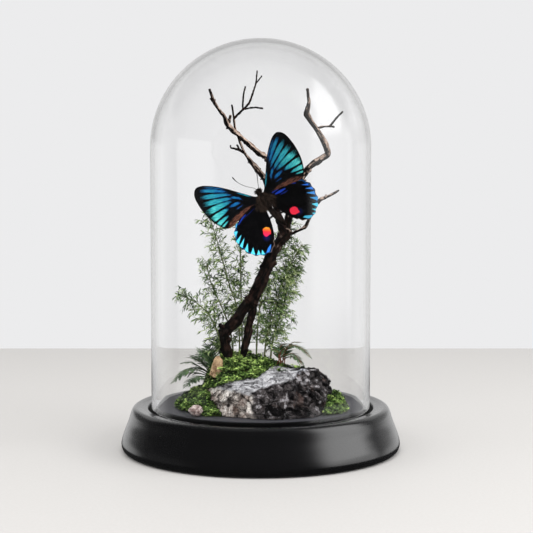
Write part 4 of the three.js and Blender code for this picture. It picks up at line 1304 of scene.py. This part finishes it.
# pale marks along a hindwing's edge: corners of each, and how blue it is from 0 to 1
hindwingMarks = {
    -1: [
        ([(24.6, -2.9), (26.6, -3.4), (28.9, -5.4), (27.2, -5.2)], 0.35),
        ([(30.6, -6.8), (28.1, -7.9), (32.8, -11.2)], 0.1),
        ([(27.2, -11.2), (33.1, -12.9), (32.5, -15.5)], 0.05),
        ([(26.6, -14.0), (32.7, -16.9), (31.9, -19.1)], 0.05),
        ([(26.9, -18.3), (31.7, -21.1), (30.2, -23.8)], 0.0),
        ([(25.2, -22.6), (29.4, -25.6), (27.0, -27.5)], 0.0),
        ([(23.1, -26.1), (26.1, -28.3), (23.8, -29.8)], 0.0),
        ([(21.0, -27.4), (23.4, -29.9), (21.0, -31.1)], 0.0),
        ([(13.3, -27.6), (17.0, -28.9), (19.6, -30.8), (17.6, -31.4), (15.2, -29.9)], 0.7),
    ],
    1: [
        ([(27.3, -9.6), (31.6, -12.1), (31.2, -13.5)], 0.8),
        ([(27.8, -13.4), (32.5, -15.9), (31.9, -17.9)], 0.7),
        ([(26.5, -16.3), (31.7, -19.2), (30.6, -21.4)], 0.55),
        ([(26.3, -20.5), (30.9, -23.6), (29.1, -26.0)], 0.4),
        ([(24.2, -24.6), (28.7, -27.3), (26.5, -30.0)], 0.05),
        ([(22.2, -27.6), (25.7, -30.2), (23.8, -31.6)], 0.0),
        ([(20.2, -29.6), (22.9, -31.6), (21.0, -32.4)], 0.0),
        ([(13.4, -28.0), (15.0, -27.9), (19.4, -31.0), (19.0, -32.4), (15.6, -31.0)], 0.15),
    ],
}
blueStreaks = {
    -1: [
        ([(9, -1.2, 0.4), (14.3, -2.2, 0.6), (21, -3.2, 0.5), (26, -5.4, 0.2)], 0.45),
        ([(9.8, 0.9, 0.3), (13.5, 0.7, 0.5), (18.5, -0.7, 0.3)], 0.5),
        ([(17, -1.6, 0.3), (20, -2.2, 0.45), (25, -4.4, 0.3)], 0.9),
    ],
    1: [
        ([(8.5, -0.4, 0.5), (12.5, -0.6, 0.9), (18, -1.2, 0.5)], 1.0),
        ([(9.5, -2.6, 0.5), (13, -3.4, 1.0), (17, -4.2, 0.5)], 1.0),
        ([(12, -5.2, 0.4), (15, -6.0, 0.7), (18, -6.4, 0.3)], 0.6),
        ([(18, -2.2, 0.4), (22, -3.6, 0.6), (25.5, -6.2, 0.4)], 0.8),
    ],
}
spotMiddle = {-1: (11.3, -19.4), 1: (11.9, -20.4)}


def toWorld(flat, side=1, swing=0.0, depth=1.0, rise=0.0):
    turn, rise = math.radians(swing), math.radians(rise)
    x = flat[:, 0] * math.cos(turn) - flat[:, 1] * depth * math.sin(turn)
    y = flat[:, 0] * math.sin(turn) + flat[:, 1] * depth * math.cos(turn)
    out = x * math.cos(rise) - flat[:, 2] * math.sin(rise)
    up = x * math.sin(rise) + flat[:, 2] * math.cos(rise)
    return thorax + side * out[:, None] * acrossBody + y[:, None] * alongBody + up[:, None] * outOfBack


def smoothLine(corners, spacing):
    samples, _ = alongPath([(x, y, 0, 0) for x, y in corners], spacing)
    return samples[:, :2]


def forewingOutline():
    return smoothLine([*forewingEdge, forewingEdge[0]], 0.45)[:-1]


def hindwingOutline():
    margin = smoothLine(hindwingMargin, 0.25)
    heading = unit(np.gradient(margin, axis=0))
    share = np.linspace(0, 1, len(margin))
    tips = np.abs(np.cos(share * scallops["count"] * math.pi)) ** 1.4 * scallops["depth"]
    margin = margin + np.stack([heading[:, 1], -heading[:, 0]], axis=1) * tips[:, None]
    front = smoothLine(hindwingFront, 0.45)[:-1]
    inner = smoothLine(hindwingInner, 0.45)[1:-1]
    return np.vstack([front, margin, inner])


def strokeMask(points, line, soft=0.4):  # 1 inside a run of [x, y, half width] points, and how far along it
    mask, reach = np.zeros(len(points)), np.zeros(len(points))
    spans = [math.dist(start[:2], end[:2]) for start, end in zip(line, line[1:])]
    gone = 0
    for (x0, y0, half0), (x1, y1, half1), span in zip(line, line[1:], spans):
        start, axis = np.array([x0, y0]), np.array([x1 - x0, y1 - y0])
        share = np.clip((points - start) @ axis / (axis @ axis), 0, 1)
        gap = np.linalg.norm(points - start - share[:, None] * axis, axis=1)
        here = edge(half0 + share * (half1 - half0) - gap, soft)
        reach = np.where(here > mask, (gone + share * span) / sum(spans), reach)
        mask = np.maximum(mask, here)
        gone += span
    return mask, reach


def cornerMask(points, corners, soft=0.35):  # 1 inside a shape with these corners
    corners = np.array(corners, float)
    following = np.roll(corners, -1, axis=0)
    turning = np.sum(corners[:, 0] * following[:, 1] - corners[:, 1] * following[:, 0])
    inside = np.full(len(points), 99.0)
    for start, end in zip(corners, following):
        along = (end - start) / np.linalg.norm(end - start)
        left = along[0] * (points[:, 1] - start[1]) - along[1] * (points[:, 0] - start[0])
        inside = np.minimum(inside, left * np.sign(turning))
    return edge(inside, soft)


def wingSheets(outline, lift, side, pose):  # an upper and an under sheet, closed along the outline
    step = butterflyLook["wingMesh"]
    low, high = outline.min(axis=0), outline.max(axis=0)
    columns = np.arange(low[0], high[0], step)
    rows = np.arange(low[1], high[1], step * 0.866)
    grid = np.array([(x + (index % 2) * step / 2, y) for index, y in enumerate(rows) for x in columns])
    following = np.roll(outline, -1, axis=0)
    crossings = np.zeros(len(grid), int)
    nearest = np.full(len(grid), 99.0)
    for start, end in zip(outline, following):
        straddles = (start[1] > grid[:, 1]) != (end[1] > grid[:, 1])
        slope = (end[0] - start[0]) / (end[1] - start[1] or 1e-9)
        crossings += straddles & (grid[:, 0] < start[0] + slope * (grid[:, 1] - start[1]))
        nearest = np.minimum(nearest, np.linalg.norm(grid - (start + end) / 2, axis=1))
    grid = grid[(crossings % 2 == 1) & (nearest > step * 0.6)]
    flat = np.vstack([outline, grid])
    count = len(outline)
    edges = [(index, (index + 1) % count) for index in range(count)]
    found = delaunay_2d_cdt([Vector(spot) for spot in flat], edges, [], 1, 1e-4)
    flat = np.array([tuple(spot) for spot in found[0]])
    triangles = np.array(found[2])
    rim = [pair for pair, origin in zip(found[1], found[4]) if origin]
    corners = flat[triangles]
    first, second = corners[:, 1] - corners[:, 0], corners[:, 2] - corners[:, 0]
    upside = first[:, 0] * second[:, 1] - first[:, 1] * second[:, 0] < 0
    triangles[upside] = triangles[upside][:, ::-1]
    arch = butterflyLook["arch"] * np.sin(grade(flat[:, 0], 0, 42) * math.pi)
    arch = arch + butterflyLook["ripple"] * np.sin(flat[:, 1] * 0.55 + flat[:, 0] * 0.2)
    half = butterflyLook["wingSheet"] / 2
    middle = lift + 0.25 + arch
    topSheet = np.column_stack([flat, middle + half])
    underSheet = np.column_stack([flat, middle - half])
    points = toWorld(np.vstack([topSheet, underSheet]), side, **pose)
    total = len(flat)
    under = triangles[:, ::-1] + total
    heads = {(a, b) for triangle in triangles.tolist() for a, b in zip(triangle, triangle[1:] + triangle[:1])}
    rim = [(b, a) if (a, b) in heads else (a, b) for a, b in rim]
    walls = [(a, b, b + total, a + total) for a, b in rim]
    faceSets = [triangles, under, np.array(walls)]
    if side < 0:
        faceSets = [faces[:, ::-1] for faces in faceSets]
    underside = np.repeat([0.0, 1.0], total)
    return flat, points, faceSets, underside


def edgeGap(flat, outline):
    gap = np.full(len(flat), 99.0)
    for spot in outline:
        gap = np.minimum(gap, np.linalg.norm(flat - spot, axis=1))
    return gap


def forewingFinish(look):
    finish, start = newFinish("forewingScales")
    flat = meshValue(start, "flat", "Vector")
    ray, bright, brown, vein = meshValues(start, "ray", "bright", "brown", "vein")
    under, rim = meshValues(start, "underside", "rim")
    scales = noise(flat, 2.2, 4, 0.7)
    alongRays = {"Vector": flat, "Angle": -0.45}
    leaning = flat.add("ShaderNodeVectorRotate", {"rotation_type": "Z_AXIS"}, alongRays)
    streaks = noise(stretched(leaning, (0.3, 1.9, 1.0)), 0.9, 5, 0.65)
    tone = bright * 0.92 + (streaks - 0.5) * 1.1 + (scales - 0.5) * 0.5 + (ray - 1) * 0.35
    black = mixShades(fade(scales, 0.45, 0.85), *look["forewingBlack"])
    colour = mixShades(fade(ray + (streaks - 0.5) * 0.9, 0.3, 0.95), black, ramp(tone, *look["rays"]))
    fibres = noise(stretched(flat, (0.25, 1.6, 1.0), (0, 0, 0.12)), 1.1, 4)
    umber = mixShades(fade(fibres + (scales - 0.5) * 0.3, 0.36, 0.64), *look["umber"])
    colour = mixShades(brown, colour, umber)
    colour = mixShades(vein * 0.85, colour, look["vein"])
    colour = mixShades(rim * 0.85, colour, look["rim"])
    below = mixShades(scales, *look["forewingUnder"])
    finishSurface(start, {
        "Base Color": mixShades(under, colour, below),
        "Roughness": 0.55 + scales * 0.2,
        "Specular IOR Level": 0.12,
        "Normal": relief(scales * 0.6 + vein * 1.2, 0.12, 0.6),
    })
    return finish


def hindwingFinish(look):
    finish, start = newFinish("hindwingScales")
    flat = meshValue(start, "flat", "Vector")
    mark, blue, streak, spotMask, warm = meshValues(start, "mark", "blue", "streak", "spot", "warm")
    glow, fringe, piping, vein = meshValues(start, "glow", "fringe", "piping", "vein")
    under = meshValue(start, "underside")
    scales = noise(flat, 2.6, 4, 0.7)
    black = mixShades(fade(scales, 0.5, 0.9), *look["hindwingBlack"])
    colour = mixShades(fade(streak + (scales - 0.5) * 0.7, 0.3, 0.95), black, look["streak"])
    colour = mixShades(piping * 0.6, colour, look["piping"])
    colour = mixShades(glow * 0.85, colour, look["glow"])
    pale = ramp(blue + (scales - 0.5) * 0.3, *look["marks"])
    colour = mixShades(fade(mark, 0.25, 0.75), colour, pale)
    hot = ramp(warm + (scales - 0.5) * 0.2, *look["spot"])
    colour = mixShades(fade(spotMask, 0.25, 0.8), colour, hot)
    colour = mixShades(fringe * 0.75, colour, look["fringe"])
    below = mixShades(scales, *look["hindwingUnder"])
    finishSurface(start, {
        "Base Color": mixShades(under, colour, below),
        "Roughness": 0.55 + scales * 0.2,
        "Specular IOR Level": 0.12,
        "Normal": relief(scales * 0.6 + vein * 1.2, 0.12, 0.6),
    })
    return finish


def addWing(name, slot, finish, sheets, values):  # both sheets carry the same values
    flat, points, faceSets, underside = sheets
    values = {label: np.tile(numbers, 2) for label, numbers in values.items()}
    values["flat"] = np.tile(np.column_stack([flat, 0 * flat[:, 0]]), (2, 1))
    values["underside"] = underside
    addPiece(name + "_scales", (points, faceSets, values), finish, slot, [name])


def makeForewing(side, name, finish, pose):
    outline = forewingOutline()
    sheets = wingSheets(outline, 0.9, side, pose)
    flat = sheets[0]
    x, y = flat.T
    ray, bright = np.zeros(len(flat)), np.zeros(len(flat))
    for line, dull, clear in forewingRays:
        narrowed = [(across, along, half * 0.94) for across, along, half in line]
        mask, reach = strokeMask(flat, narrowed, 0.85)
        mask = mask * np.clip(reach / 0.3, 0.3, 1) * grade(reach, 1, 0.7)
        bright = np.where(mask > ray, dull + (clear - dull) * reach, bright)
        ray = np.maximum(ray, mask)
    lines = [[(*spot, 0.16) for spot in vein] for vein in forewingVeins]
    fine = np.max([strokeMask(flat, line, 0.55)[0] for line in lines], axis=0)
    top = np.interp(x, *np.array(brownBand).T)
    brown = np.clip((top - y) / 1.1 + 0.1, 0, 1) * grade(x, 7, 11) * grade(x, 33.5, 32)
    apex = grade(x + y, 46, 62)
    rim = np.clip(1 - (edgeGap(flat, outline) - 0.3 - apex * 0.3) / (0.9 + apex * 2.0), 0, 1)
    rim *= grade(x + y, 30, 35)
    values = {"ray": ray, "bright": bright, "brown": brown * 0.92, "vein": fine * (1 - brown), "rim": rim}
    addWing(name, "forewing", finish, sheets, values)


def makeHindwing(side, name, finish, pose):
    outline = hindwingOutline()
    sheets = wingSheets(outline, 0, side, pose)
    flat = sheets[0]
    x, y = flat.T
    mark, blue = np.zeros(len(flat)), np.zeros(len(flat))
    for corners, blueness in hindwingMarks[side]:
        mask = cornerMask(flat, corners)
        blue = np.where(mask > mark, blueness, blue)
        mark = np.maximum(mark, mask)
    streak = np.max([strokeMask(flat, line, 0.7)[0] * share for line, share in blueStreaks[side]], axis=0)
    fromSpot = flat - np.array(spotMiddle[side])
    long = fromSpot @ np.array([0.6, -0.8])
    wide = fromSpot @ np.array([0.8, 0.6])
    ragged = layeredNoise(np.column_stack([flat, 0 * x + side * 9]), 2.4, 2, 17) * 0.3
    size = 0.93 if side < 0 else 1.0
    away = np.sqrt((long / (3.5 * size)) ** 2 + (wide / (2.85 * size - 0.12 * long)) ** 2) + ragged
    spotMask = np.clip((1 - away) * 3 + 0.4, 0, 1)
    warm = np.clip(0.38 - long / 5.5, 0, 1) if side < 0 else np.full(len(flat), 0.28)
    glow = grade(np.hypot(long - 3.6, wide), 3.2, 0)
    veins = np.zeros(len(flat))
    for turn in np.linspace(-8, -76, 9):
        end = 34 * np.array([math.cos(math.radians(turn)), math.sin(math.radians(turn))])
        veins = np.maximum(veins, strokeMask(flat, [(5, -3, 0.1), (end[0], end[1], 0.12)])[0])
    rimGap = edgeGap(flat, outline)
    fringe = grade(rimGap, 0.6, 0) * grade(y, -24, -27) * grade(x, 19, 16)
    piping = grade(np.abs(rimGap - 0.75), 0.45, 0) * grade(x, 14, 18) * grade(y, -4, -7)
    values = {"mark": mark, "blue": blue, "streak": streak, "spot": spotMask, "warm": warm}
    values.update({"glow": glow * 0.9, "vein": veins, "fringe": fringe, "piping": piping})
    addWing(name, "hindwing", finish, sheets, values)


def furFinish(look):
    finish, start = newFinish("bodyFur")
    spot = objectSpot(start)
    tint = meshValue(start, "tint")
    broad = grainNoise(spot, 3)
    fine = grainNoise(spot, 0.4)
    colour = mixShades(fade(broad * 0.6 + tint * 0.5, 0.35, 0.8), *look["fur"])
    finishSurface(start, {
        "Base Color": colour,
        "Roughness": 0.75 + fine * 0.2,
        "Specular IOR Level": 0.15,
        "Normal": relief(fine, 0.15, 0.6),
    })
    return finish


def makeBody(look):
    finish = furFinish(look)
    samples, _ = alongPath([(radius, along, 0, 0) for radius, along in bodyProfile], 0.25)
    radius, along = samples[:, 0], samples[:, 1]
    rings = np.where(along < -6, 1 - 0.07 * np.abs(np.sin((along + 6) * math.pi / 2.1)) ** 0.6, 1)
    radius = np.concatenate([[0], radius * rings, [0]])
    along = np.concatenate([[along[0] - 0.05], along, [along[-1] + 0.05]])
    points, faceSets = turned(list(zip(radius, along)), 36)
    flat = np.stack([points[:, 0], points[:, 2], -points[:, 1]], axis=1)

    def sweep(spots):
        behind = np.maximum(0, -5 - spots[:, 1]) / 18
        swept = spots.copy()
        swept[:, 0] += look["tailSweep"] * behind**1.5
        return swept

    world = toWorld(sweep(flat))
    values = {"tint": np.full(len(points), 0.1)}
    count = look["hairs"]
    alongs = chance.uniform(-22.5, 8.2, count * 2)
    hairRadius = np.interp(alongs, along, radius)
    kept = np.flatnonzero(chance.random(count * 2) < hairRadius / 3.4)[:count]
    turn = chance.random(len(kept)) * 2 * math.pi
    alongs, hairRadius = alongs[kept], hairRadius[kept]
    out = np.stack([np.cos(turn), 0 * turn, np.sin(turn)], axis=1)
    feet = out * (hairRadius - 0.1)[:, None]
    feet[:, 1] = alongs
    heading = out * 0.75 + np.array([0, -1, 0]) + chance.normal(0, 0.25, (len(kept), 3))
    heading[alongs > 5.5, 1] += 1.3
    lengths = np.where(alongs > -6, 1.5, 0.75) * chance.uniform(0.6, 1.25, len(kept))
    feetWorld = toWorld(sweep(feet))
    tipsWorld = toWorld(sweep(feet + unit(heading) * 0.5)) - feetWorld
    upward = toWorld(out) - thorax
    taper = (1, 0.7, 0.05)
    hairs = leafSet(feetWorld, tipsWorld, upward, lengths, np.full(len(kept), 0.11), taper, 0, 0.15)
    hairs[2].pop("reach")
    roots = look["rootHairs"]  # longer hair that lies over the feet of the wings
    out, back = chance.uniform(0, 1, roots) ** 1.6 * 7.5, chance.uniform(-7, 4.5, roots)
    side = chance.choice([-1, 1], roots)
    rise = math.radians(look["wingRise"])
    inset = np.clip(1 - np.abs(back + 2) / 8, 0, 1)
    out = 1 + out * inset
    lieFlat = np.stack([side * out * math.cos(rise), back, out * math.sin(rise) + 1.9], axis=1)
    outward = side * chance.uniform(0.2, 1, roots)
    backward = chance.uniform(-1.1, 0.1, roots)
    aim = np.stack([outward, backward, chance.uniform(0, 0.4, roots)], axis=1)
    size = chance.uniform(1.2, 2.8, roots)
    places = (toWorld(lieFlat), toWorld(aim) - thorax, np.tile(outOfBack, (roots, 1)))
    lying = leafSet(*places, size, np.full(roots, 0.12), taper, 0, 0.12)
    lying[2].pop("reach")
    made = joinParts([(world, faceSets, values), hairs, lying])
    addPiece("butterfly_body_fur", made, finish, "insect_body", ["butterfly_body"])


def makeEyes(look):
    finish, start = newFinish("insectEye")
    cells = grainNoise(objectSpot(start), 0.15, 2)
    colour = mixShades(cells, *look["eye"])
    sockets = {"Base Color": colour, "Roughness": 0.2 + cells * 0.1}
    finishSurface(start, {**sockets, "Normal": relief(cells, 0.03, 0.5)})
    parts = []
    radius, half = look["eyeSize"]
    apart, forward, high = look["eyePlace"]
    profile = [(math.sin(turn) * radius, -math.cos(turn) * half) for turn in np.linspace(0, math.pi, 15)]
    for side in (-1, 1):
        points, faceSets = turned(profile, 24)
        flat = np.stack([points[:, 0] + side * apart, points[:, 2] + forward, high - points[:, 1]], axis=1)
        parts.append((toWorld(flat), faceSets, {}))
    addPiece("butterfly_eyes", joinParts(parts), finish, "insect_body")


feelers = {
    "butterfly_antenna_long": [
        (-1.5, -4.2, 177.2, 0.2), (-4, -5.5, 179, 0.17), (-10.5, -7, 180.7, 0.16), (-15.5, -8, 183.2, 0.18),
        (-18, -8.6, 185.4, 0.36), (-19, -9, 186.6, 0.4),
    ],
    "butterfly_antenna_short": [
        (-1.1, -4.2, 177.4, 0.2), (-1.9, -5.5, 183.4, 0.17), (-2.35, -6.6, 188, 0.3), (-2.5, -7, 189.9, 0.4),
    ],
}
hindLegs = {
    "butterfly_leg_left": [
        (8.3, -2.6, 160.4, 0.75), (5.5, -2.2, 158.2, 0.7), (3.2, -1.9, 156.9, 0.65), (1, -1.6, 156, 0.55),
    ],
    "butterfly_leg_right": [
        (9.5, -2.6, 161.4, 0.75), (15.9, -2.3, 163.3, 0.7), (18.8, -2, 164.6, 0.65), (21, -1.6, 165.8, 0.55),
    ],
}


def makeLimbs(look):
    finish, start = newFinish("insectLimb")
    bands = noise(meshValue(start, "grain", "Vector"), 1.4)
    sockets = {"Base Color": mixShades(bands, *look["limb"]), "Roughness": 0.5 + bands * 0.25}
    finishSurface(start, {**sockets, "Normal": relief(bands, 0.1, 0.5)})

    def beaded(radius, grain, angle):
        return radius * (1 + 0.12 * np.sin(grain[..., 2] * 8))

    for name, path in {**feelers, **hindLegs}.items():
        addPiece(name + "_skin", tube(path, 0.2, 10, beaded), finish, "insect_limb", [name])


# Room for the object: floor, light and camera

stageLook = {
    "floor": (shade(160, 158, 156), shade(168, 166, 164)),
    "backdrop": shade(236, 236, 237),
    "tableReach": 2.5,  # how far the floor runs to the front and to each side, in metres
    "tableBack": 0.5,  # and how far behind the object
    "surround": 1.05,  # soft light from all round
    "dimRoom": 0.03,  # what polished surfaces mirror in front
    "leftWindow": 0.05,
    "rightWindow": 0.9,
    "upperWindow": 1.9,
    "backWindow": 2.2,  # the bright pane that the back of the dome mirrors
    "ceiling": 0.2,  # how much darker glass finds the room overhead
    "glow": 0.09,  # and how much brighter the wall behind it
    "wall": 0.7,
}


def makeFloor(look):
    floorMesh = bpy.data.meshes.new("floor")
    side, back = look["tableReach"], look["tableBack"]
    corners = [(-side, -side, 0), (side, -side, 0), (side, back, 0), (-side, back, 0)]
    floorMesh.from_pydata(corners, [], [(0, 1, 2, 3)])
    floor = bpy.data.objects.new("floor", floorMesh)
    bpy.context.scene.collection.objects.link(floor)
    finish, start = newFinish("paleFloor")
    colour = mixShades(grainNoise(objectSpot(start), 2), *look["floor"])
    paint = start.add("ShaderNodeBsdfPrincipled", {}, {"Base Color": colour, "Roughness": 0.7}, out="BSDF")
    clear = start.add("ShaderNodeBsdfTransparent", out="BSDF")
    rays = start.add("ShaderNodeLightPath", out="Glossy Depth")
    mirrored = rays.sum("MINIMUM", rays, 1) * (1 - rays.sum("MINIMUM", rays.other("Diffuse Depth"), 1))
    both = start.add("ShaderNodeMixShader", {}, {0: mirrored, 1: paint, 2: clear}, out="Shader")
    start.add("ShaderNodeOutputMaterial", {}, {"Surface": both})
    floorMesh.materials.append(finish)


# seen directly or through glass the room is one pale wall, and mirrored it is a dim room with soft windows
def makeRoom(look):
    world = bpy.data.worlds.new("paleRoom")
    bpy.context.scene.world = world
    world.use_nodes = True
    world.node_tree.nodes.clear()
    start = Wire(world.node_tree)
    rays = start.add("ShaderNodeLightPath", out="Is Camera Ray")
    scattered = rays.sum("MINIMUM", rays.other("Diffuse Depth"), 1)
    bounced = rays.sum("MINIMUM", rays.other("Glossy Depth"), 1) * (1 - scattered)
    seen = rays.sum("MAXIMUM", rays, rays.other("Is Transmission Ray")) * (1 - scattered) * (1 - bounced)
    heading = start.add("ShaderNodeTexCoord", out="Generated")
    side = heading.add("ShaderNodeSeparateXYZ", {}, {"Vector": heading}, out="X")
    height = side.other("Z")
    turn = side.sum("ARCTAN2", side, 0 - side.other("Y"))  # 0 towards the viewer, growing to the right
    level = fade(height, -0.15, -0.09) * fade(height, 0.26, 0.12)
    right = fade(turn, 0.82, 1.05) * fade(turn, 1.95, 1.85) * level
    left = fade(turn, -0.8, -1.2) * fade(turn, -1.98, -1.7) * level
    upper = fade(turn, 0.75, 1.1) * fade(turn, 1.9, 1.65) * fade(height, 0.1, 0.24) * fade(height, 0.95, 0.6)
    through = rays.sum("MINIMUM", rays.other("Transmission Depth"), 1)
    behind = fade(side.other("Y"), 0.3, 0.6) * (0.7 + fade(height, 0.4, 0.22) * 0.3)
    behind = behind * (fade(height, -0.17, -0.12) * (1 - through) + fade(height, -0.34, -0.22) * through)
    corners = 1 - (0.12 + fade(side, -0.55, -0.25) * 0.88) * (0.45 + fade(side, 0.6, 0.3) * 0.55)
    behind = behind * (1 - corners * (1 - through) * fade(height, 0.0, 0.07) * fade(height, 0.42, 0.3))
    mirrored = look["dimRoom"] + right * look["rightWindow"] + left * look["leftWindow"]
    slant = turn - height * 0.8
    back = fade(slant, -0.85, -1.0) * fade(slant, -1.75, -1.63)
    back = back * fade(height, -0.13, -0.28) * fade(height, -0.78, -0.7)
    mirrored = mirrored + back * through * look["backWindow"]
    mirrored = mirrored + upper * (1 - through) * look["upperWindow"]
    mirrored = mirrored + behind * look["wall"] + fade(height, 0.7, 1.0) * 0.1
    colour = mixShades(seen, (1, 1, 1, 1), look["backdrop"])
    overhead = 1 - fade(height, 0.5, 0.9) * look["ceiling"]
    overhead = overhead * (1 + rays.other("Is Transmission Ray") * look["glow"])
    strength = seen * overhead + mirrored * bounced + scattered * look["surround"]
    sky = start.add("ShaderNodeBackground", {}, {"Color": colour, "Strength": strength})
    start.add("ShaderNodeOutputWorld", {}, {"Surface": sky})
    world.cycles.sampling_method = "NONE"


lampAim = 0.15  # the height that the lamps point at, in metres
# turn is degrees to the right of the viewer, rise is degrees up, away is metres from the object
lamps = {
    "right_window": {"turn": 68, "rise": 31, "away": 1.15, "size": (0.95, 0.5), "power": 11},
    "left_window": {"turn": -78, "rise": 36, "away": 1.2, "size": (0.8, 0.5), "power": 4.5},
    "ceiling": {"turn": 10, "rise": 76, "away": 1.4, "size": (1.3, 1.1), "power": 19},
    "front_fill": {"turn": -22, "rise": 34, "away": 1.5, "size": (0.7, 0.7), "power": 5},
}


def makeLamps():
    for name, lamp in lamps.items():
        light = bpy.data.lights.new(name, "AREA")
        light.shape = "RECTANGLE"
        light.size, light.size_y = lamp["size"]
        light.energy = lamp["power"]
        holder = bpy.data.objects.new(name, light)
        turn, rise = math.radians(lamp["turn"]), math.radians(lamp["rise"])
        aim = Vector((math.sin(turn) * math.cos(rise), -math.cos(turn) * math.cos(rise), math.sin(rise)))
        holder.location = Vector((0, 0, lampAim)) + aim * lamp["away"]
        holder.rotation_euler = aim.to_track_quat("Z", "Y").to_euler()
        holder.visible_glossy = False  # the windows in the room do the mirroring
        holder.visible_transmission = False
        bpy.context.scene.collection.objects.link(holder)


cameraLook = {
    "place": (0.004, -0.955, 0.201),
    "down": 4.515,  # degrees below level
    "film": 36,
    "lens": 36 * 1400 / 533,
}


def makeCamera(look):
    camera = bpy.data.cameras.new("view")
    camera.sensor_width = look["film"]
    camera.lens = look["lens"]
    camera.clip_start = 0.01
    holder = bpy.data.objects.new("view", camera)
    holder.location = look["place"]
    holder.rotation_euler = (math.radians(90 - look["down"]), 0, 0)
    bpy.context.scene.collection.objects.link(holder)
    bpy.context.scene.camera = holder


makeCamera(cameraLook)
makeFloor(stageLook)
makeRoom(stageLook)
makeLamps()
print("stage, lamps and camera ready")
makeBase(baseLook)
makeDome(domeLook)
print("base and dome done")
rockSkin = makeRock(rockLook)
for node, look in stones.items():
    makeStone(node, look)
print("stones done")
makeMoss(mossLook, rockSkin)
print("moss done")
makeDriftwood(woodLook)
print("driftwood done")
makeBamboo(bambooLook)
makeFerns(fernLook)
print("bamboo and ferns done")
forewingScales, hindwingScales = forewingFinish(butterflyLook), hindwingFinish(butterflyLook)
lifted = {"rise": butterflyLook["wingRise"]}
makeForewing(-1, "butterfly_forewing_left", forewingScales, lifted)
makeForewing(1, "butterfly_forewing_right", forewingScales, {**lifted, "swing": 2.5})
makeHindwing(-1, "butterfly_hindwing_left", hindwingScales, lifted)
makeHindwing(1, "butterfly_hindwing_right", hindwingScales, {**lifted, "swing": 8, "depth": 0.95})
makeBody(butterflyLook)
makeEyes(butterflyLook)
makeLimbs(butterflyLook)
print("butterfly done")

bpy.context.scene.view_settings.view_transform = "Standard"
